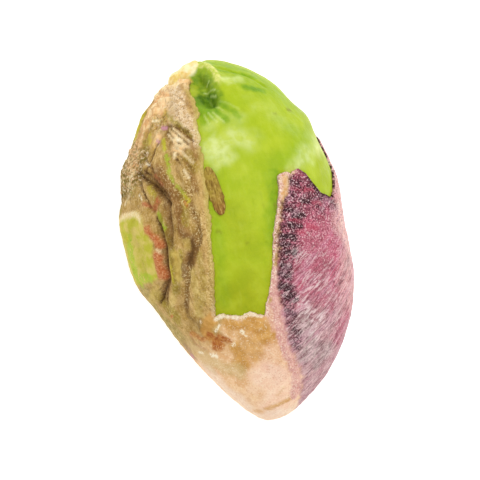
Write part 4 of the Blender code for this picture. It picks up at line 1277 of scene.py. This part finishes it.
finish.coat(speckled("peach", salt, 0.45, 0.30, 0.45), tone(206, 146, 98))
finish.coat("thin_edge", tone(202, 190, 96), 0.5)

# The purple side: rose, lilac and grey, the dark veins, a painted pale light along its outer edge, a painted
# shadow under the torn rim, and pale and dark fibres and specks.
finish.coat("purple", (tone(202, 112, 132), tone(172, 84, 100), 0.5))
finish.coat("mauve", tone(206, 146, 158), 0.9)
finish.coat("lilac", (tone(224, 192, 188), tone(200, 158, 158), 0.4), 0.75)
finish.coat("rose", (tone(196, 84, 112), tone(212, 116, 138), 0.35), 0.85)
finish.coat("grey", (tone(202, 184, 178), tone(164, 140, 138), 0.3), 0.85)
finish.coat(speckled("vein", blots, 0.37, 0.51, 0.9), (tone(78, 38, 48), tone(112, 56, 68), 0.2))
finish.coat("vein_core", (tone(42, 24, 28), tone(70, 38, 44), 0.15), 0.95)
# A pale painted light along the purple side's outer edge.
finish.coat("edge_painted_light", (tone(250, 216, 204), tone(238, 182, 174), 0.4))
# Painted shadow under the torn rim beside the tooth.
finish.coat(speckled("rim_painted_shadow", blots, 0.38, 0.52, 0.85), (tone(78, 38, 48), tone(112, 56, 68), 0.2))
finish.coat(speckled("purple", strands, 0.50, 0.62, 0.45), (tone(214, 142, 166), tone(206, 158, 170), 0.6))
finish.coat(speckled("fibrous", strands, 0.48, 0.36, 0.5), tone(150, 96, 104))
finish.coat(speckled("fibrous", fibres, 0.52, 0.61, 0.65), tone(242, 212, 212))
finish.coat(speckled("fibrous", fibres, 0.48, 0.36, 0.65), tone(108, 60, 70))
finish.coat(speckled("speckly", salt, 0.55, 0.64, 0.75), tone(244, 210, 212))
finish.coat(speckled("speckly", salt, 0.45, 0.36, 0.75), tone(100, 42, 56))
finish.coat("crimson", (tone(176, 48, 74), tone(198, 84, 104), 0.15), 0.7)
finish.coat(speckled("vein", salt, 0.49, 0.40, 0.9), tone(40, 22, 28))
finish.coat(speckled("light", fibres, 0.44, 0.58, 0.70), tone(240, 222, 220))

# The torn edge: the tan flap, the pale rims of the lower and right stretches, and the dark rim
# from the horn's side round to the blunt end.
finish.coat("flap", (tone(228, 172, 110), tone(240, 206, 160), 0.2), 0.9)
finish.coat(speckled("pale_rim", crumb_noise, 0.40, 0.48), (tone(246, 216, 190), tone(222, 168, 156), 0.12))
finish.coat(speckled("pale_rim", salt, 0.46, 0.38, 0.55), tone(176, 104, 104))
finish.coat(speckled("pale_rim", salt, 0.56, 0.64, 0.7), tone(255, 242, 228))
finish.coat(speckled("low_rim", crumb_noise, 0.36, 0.50, 0.85),
            (tone(252, 240, 210), tone(238, 214, 172), 0.12))
finish.coat(speckled("dark_rim", crumb_noise, 0.38, 0.46), (tone(46, 24, 30), tone(86, 42, 48), 0.12))

relief = finish.product(finish.product(fibres, finish.mask("purple")), finish.product(salt, 0.6), "ADD")
relief = finish.product(relief, finish.product(crumb_noise, finish.mask("crumbly")), "ADD")
relief = finish.product(relief, finish.product(streaky, 0.6), "ADD")
skin.data.materials.append(finish.done(relief, 0.08))
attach(skin, "root")
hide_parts("seed_coat")

# The scrap: a narrow strip of the same dry brown skin, left behind where the rest came off.
# It is thin and matt, a little domed and lumpy, and it clings to the bare flesh near the left
# edge of the tear.

SCRAP_PATH = ((-0.52, 3.84), (-0.50, 2.90), (-0.44, 2.05), (-0.44, 1.36))
SCRAP_ALONG, SCRAP_ACROSS = 90, 16
SCRAP_HALF_WIDTH, SCRAP_UNEVEN, END_ROUNDING = 0.235, 0.18, 0.36
SCRAP_EDGE, SCRAP_DOME, SCRAP_LUMPS, SCRAP_SINK = 0.02, 0.15, 0.05, 0.02


def scrap_strip():
    """A narrow strip along the path: its places on the map, and how far across it each lies, from
    -1 to 1. Its width swells and thins, and its ends are rounded."""
    path = to_flat(SCRAP_PATH)
    walked = np.concatenate(([0.0], np.cumsum(np.linalg.norm(np.diff(path, axis=0), axis=1))))
    share = np.linspace(0.0, 1.0, SCRAP_ALONG)
    line = np.stack([np.interp(share * walked[-1], walked, path[:, k]) for k in (0, 1)], axis=1)
    width = SCRAP_HALF_WIDTH * np.clip(4.0 * share * (1.0 - share), 0.0, 1.0) ** END_ROUNDING
    row = np.stack((3.0 * share, 0.0 * share, 0.0 * share), axis=1)
    width = width * (1.0 + SCRAP_UNEVEN * grain(row, 0.3, 101, 3))
    across = np.linspace(-1.0, 1.0, SCRAP_ACROSS)
    sideways = across[None] * width[:, None]
    flat = line[:, None] + np.stack((sideways, 0.0 * sideways), axis=-1)
    return flat.reshape(-1, 2), np.broadcast_to(across, (SCRAP_ALONG, SCRAP_ACROSS)).ravel()


flat, across = scrap_strip()
points, out = on_body(flat)
dome = np.sqrt(np.clip(1.0 - across ** 2, 0.0, None))
top = SCRAP_EDGE + SCRAP_DOME * dome + SCRAP_LUMPS * grain(points, 0.2, 105, 3)
count = len(flat)
bottom = np.full(count, -SCRAP_SINK)
scrap_points = np.concatenate((
    placed(points, out, np.maximum(top, 0.0)), placed(points, out, bottom),
))
grid = np.arange(count).reshape(SCRAP_ALONG, SCRAP_ACROSS)
upper = np.stack((grid[:-1, :-1], grid[:-1, 1:], grid[1:, 1:], grid[1:, :-1]), axis=-1)
upper = upper.reshape(-1, 4)
border = np.concatenate((grid[0], grid[1:, -1], grid[-1, -2::-1], grid[-2:0:-1, 0]))
after = np.roll(border, -1)
side = np.stack((border, border + count, after + count, after), axis=1)
scrap_faces = np.concatenate((upper[:, ::-1], upper + count, side[:, ::-1]))
low_end = np.tile(smooth((2.6 - points[:, 1]) / 1.2), 2)
scrap = mesh_piece("skin_scrap", scrap_points, scrap_faces, {"low_end": low_end})

finish = Finish(
    "dry_brown_skin", (tone(174, 148, 62), tone(148, 118, 50), 0.3), 0.8, Specular_IOR_Level=0.12,
)
fibres = finish.drawn_out(0.09, 4.0, 0.2)
finish.coat("low_end", (tone(164, 112, 58), tone(140, 88, 44), 0.2), 0.8)
finish.coat(finish.between(fibres, 0.52, 0.66, 0.0, 0.6), tone(206, 178, 100))
finish.coat(finish.between(fibres, 0.48, 0.34, 0.0, 0.6), tone(104, 76, 28))
scrap.data.materials.append(finish.done(fibres, 0.05))
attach(scrap, "root")
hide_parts("skin_scrap")

# The stage: a plain white floor in an evenly lit white room, with one soft lamp overhead, a little
# to the top and to the right of the picture. The camera looks straight down through a long lens,
# and is turned so that the nut's blunt end leans to the left.

PICTURE_UP = Vector((0.2647, 0.9643, 0.0))
PICTURE_RIGHT = Vector((0.9643, -0.2647, 0.0))
PICTURE_WIDTH = 24.35
CAMERA_HEIGHT, SENSOR_WIDTH = 0.4, 36.0
CAMERA_TURN = -15.35
CAMERA_X, CAMERA_Y = 0.096, -0.072
WHITE = (1.0, 1.0, 1.0, 1.0)
FLOOR_HALF = 1.0
ROOM_LIGHT = 0.80
NUT_MIDDLE = Vector((0.0, 0.0, 0.005))
KEY_WAY = PICTURE_RIGHT * 0.20 + PICTURE_UP * 0.45 + Vector((0.0, 0.0, 1.0))
KEY_DISTANCE, KEY_SIZE, KEY_POWER = 0.16, 0.06, 0.08

floor_corners = [
    (across * FLOOR_HALF, along * FLOOR_HALF, 0.0)
    for across, along in ((-1.0, -1.0), (1.0, -1.0), (1.0, 1.0), (-1.0, 1.0))
]
floor_mesh = bpy.data.meshes.new("floor")
floor_mesh.from_pydata(floor_corners, [], [(0, 1, 2, 3)])
floor = bpy.data.objects.new("floor", floor_mesh)
bpy.context.scene.collection.objects.link(floor)
floor_paint = Finish(
    "white_floor", tone(252, 252, 252), 0.9, Emission_Color=WHITE, Emission_Strength=0.5,
)
floor_paint.put(floor_paint.shader.inputs["Base Color"], floor_paint.top)
floor_mesh.materials.append(floor_paint.material)

world = bpy.data.worlds.new("soft_white_room")
bpy.context.scene.world = world
world.use_nodes = True
world.node_tree.nodes["Background"].inputs["Color"].default_value = WHITE
world.node_tree.nodes["Background"].inputs["Strength"].default_value = ROOM_LIGHT

lamp = bpy.data.lights.new("key", "AREA")
lamp.size = KEY_SIZE
lamp.energy = KEY_POWER
key = bpy.data.objects.new("key", lamp)
toward = KEY_WAY.normalized()
key.location = NUT_MIDDLE + toward * KEY_DISTANCE
key.rotation_euler = toward.to_track_quat("Z", "Y").to_euler()
bpy.context.scene.collection.objects.link(key)

camera_data = bpy.data.cameras.new("camera")
camera_data.lens = SENSOR_WIDTH * CAMERA_HEIGHT / (PICTURE_WIDTH * MM)
camera_data.clip_end = 10.0
camera = bpy.data.objects.new("camera", camera_data)
camera.location = (CAMERA_X * MM, CAMERA_Y * MM, CAMERA_HEIGHT)
camera.rotation_euler = (0.0, 0.0, np.radians(CAMERA_TURN))
bpy.context.scene.collection.objects.link(camera)
bpy.context.scene.camera = camera
bpy.context.scene.view_settings.view_transform = "Standard"
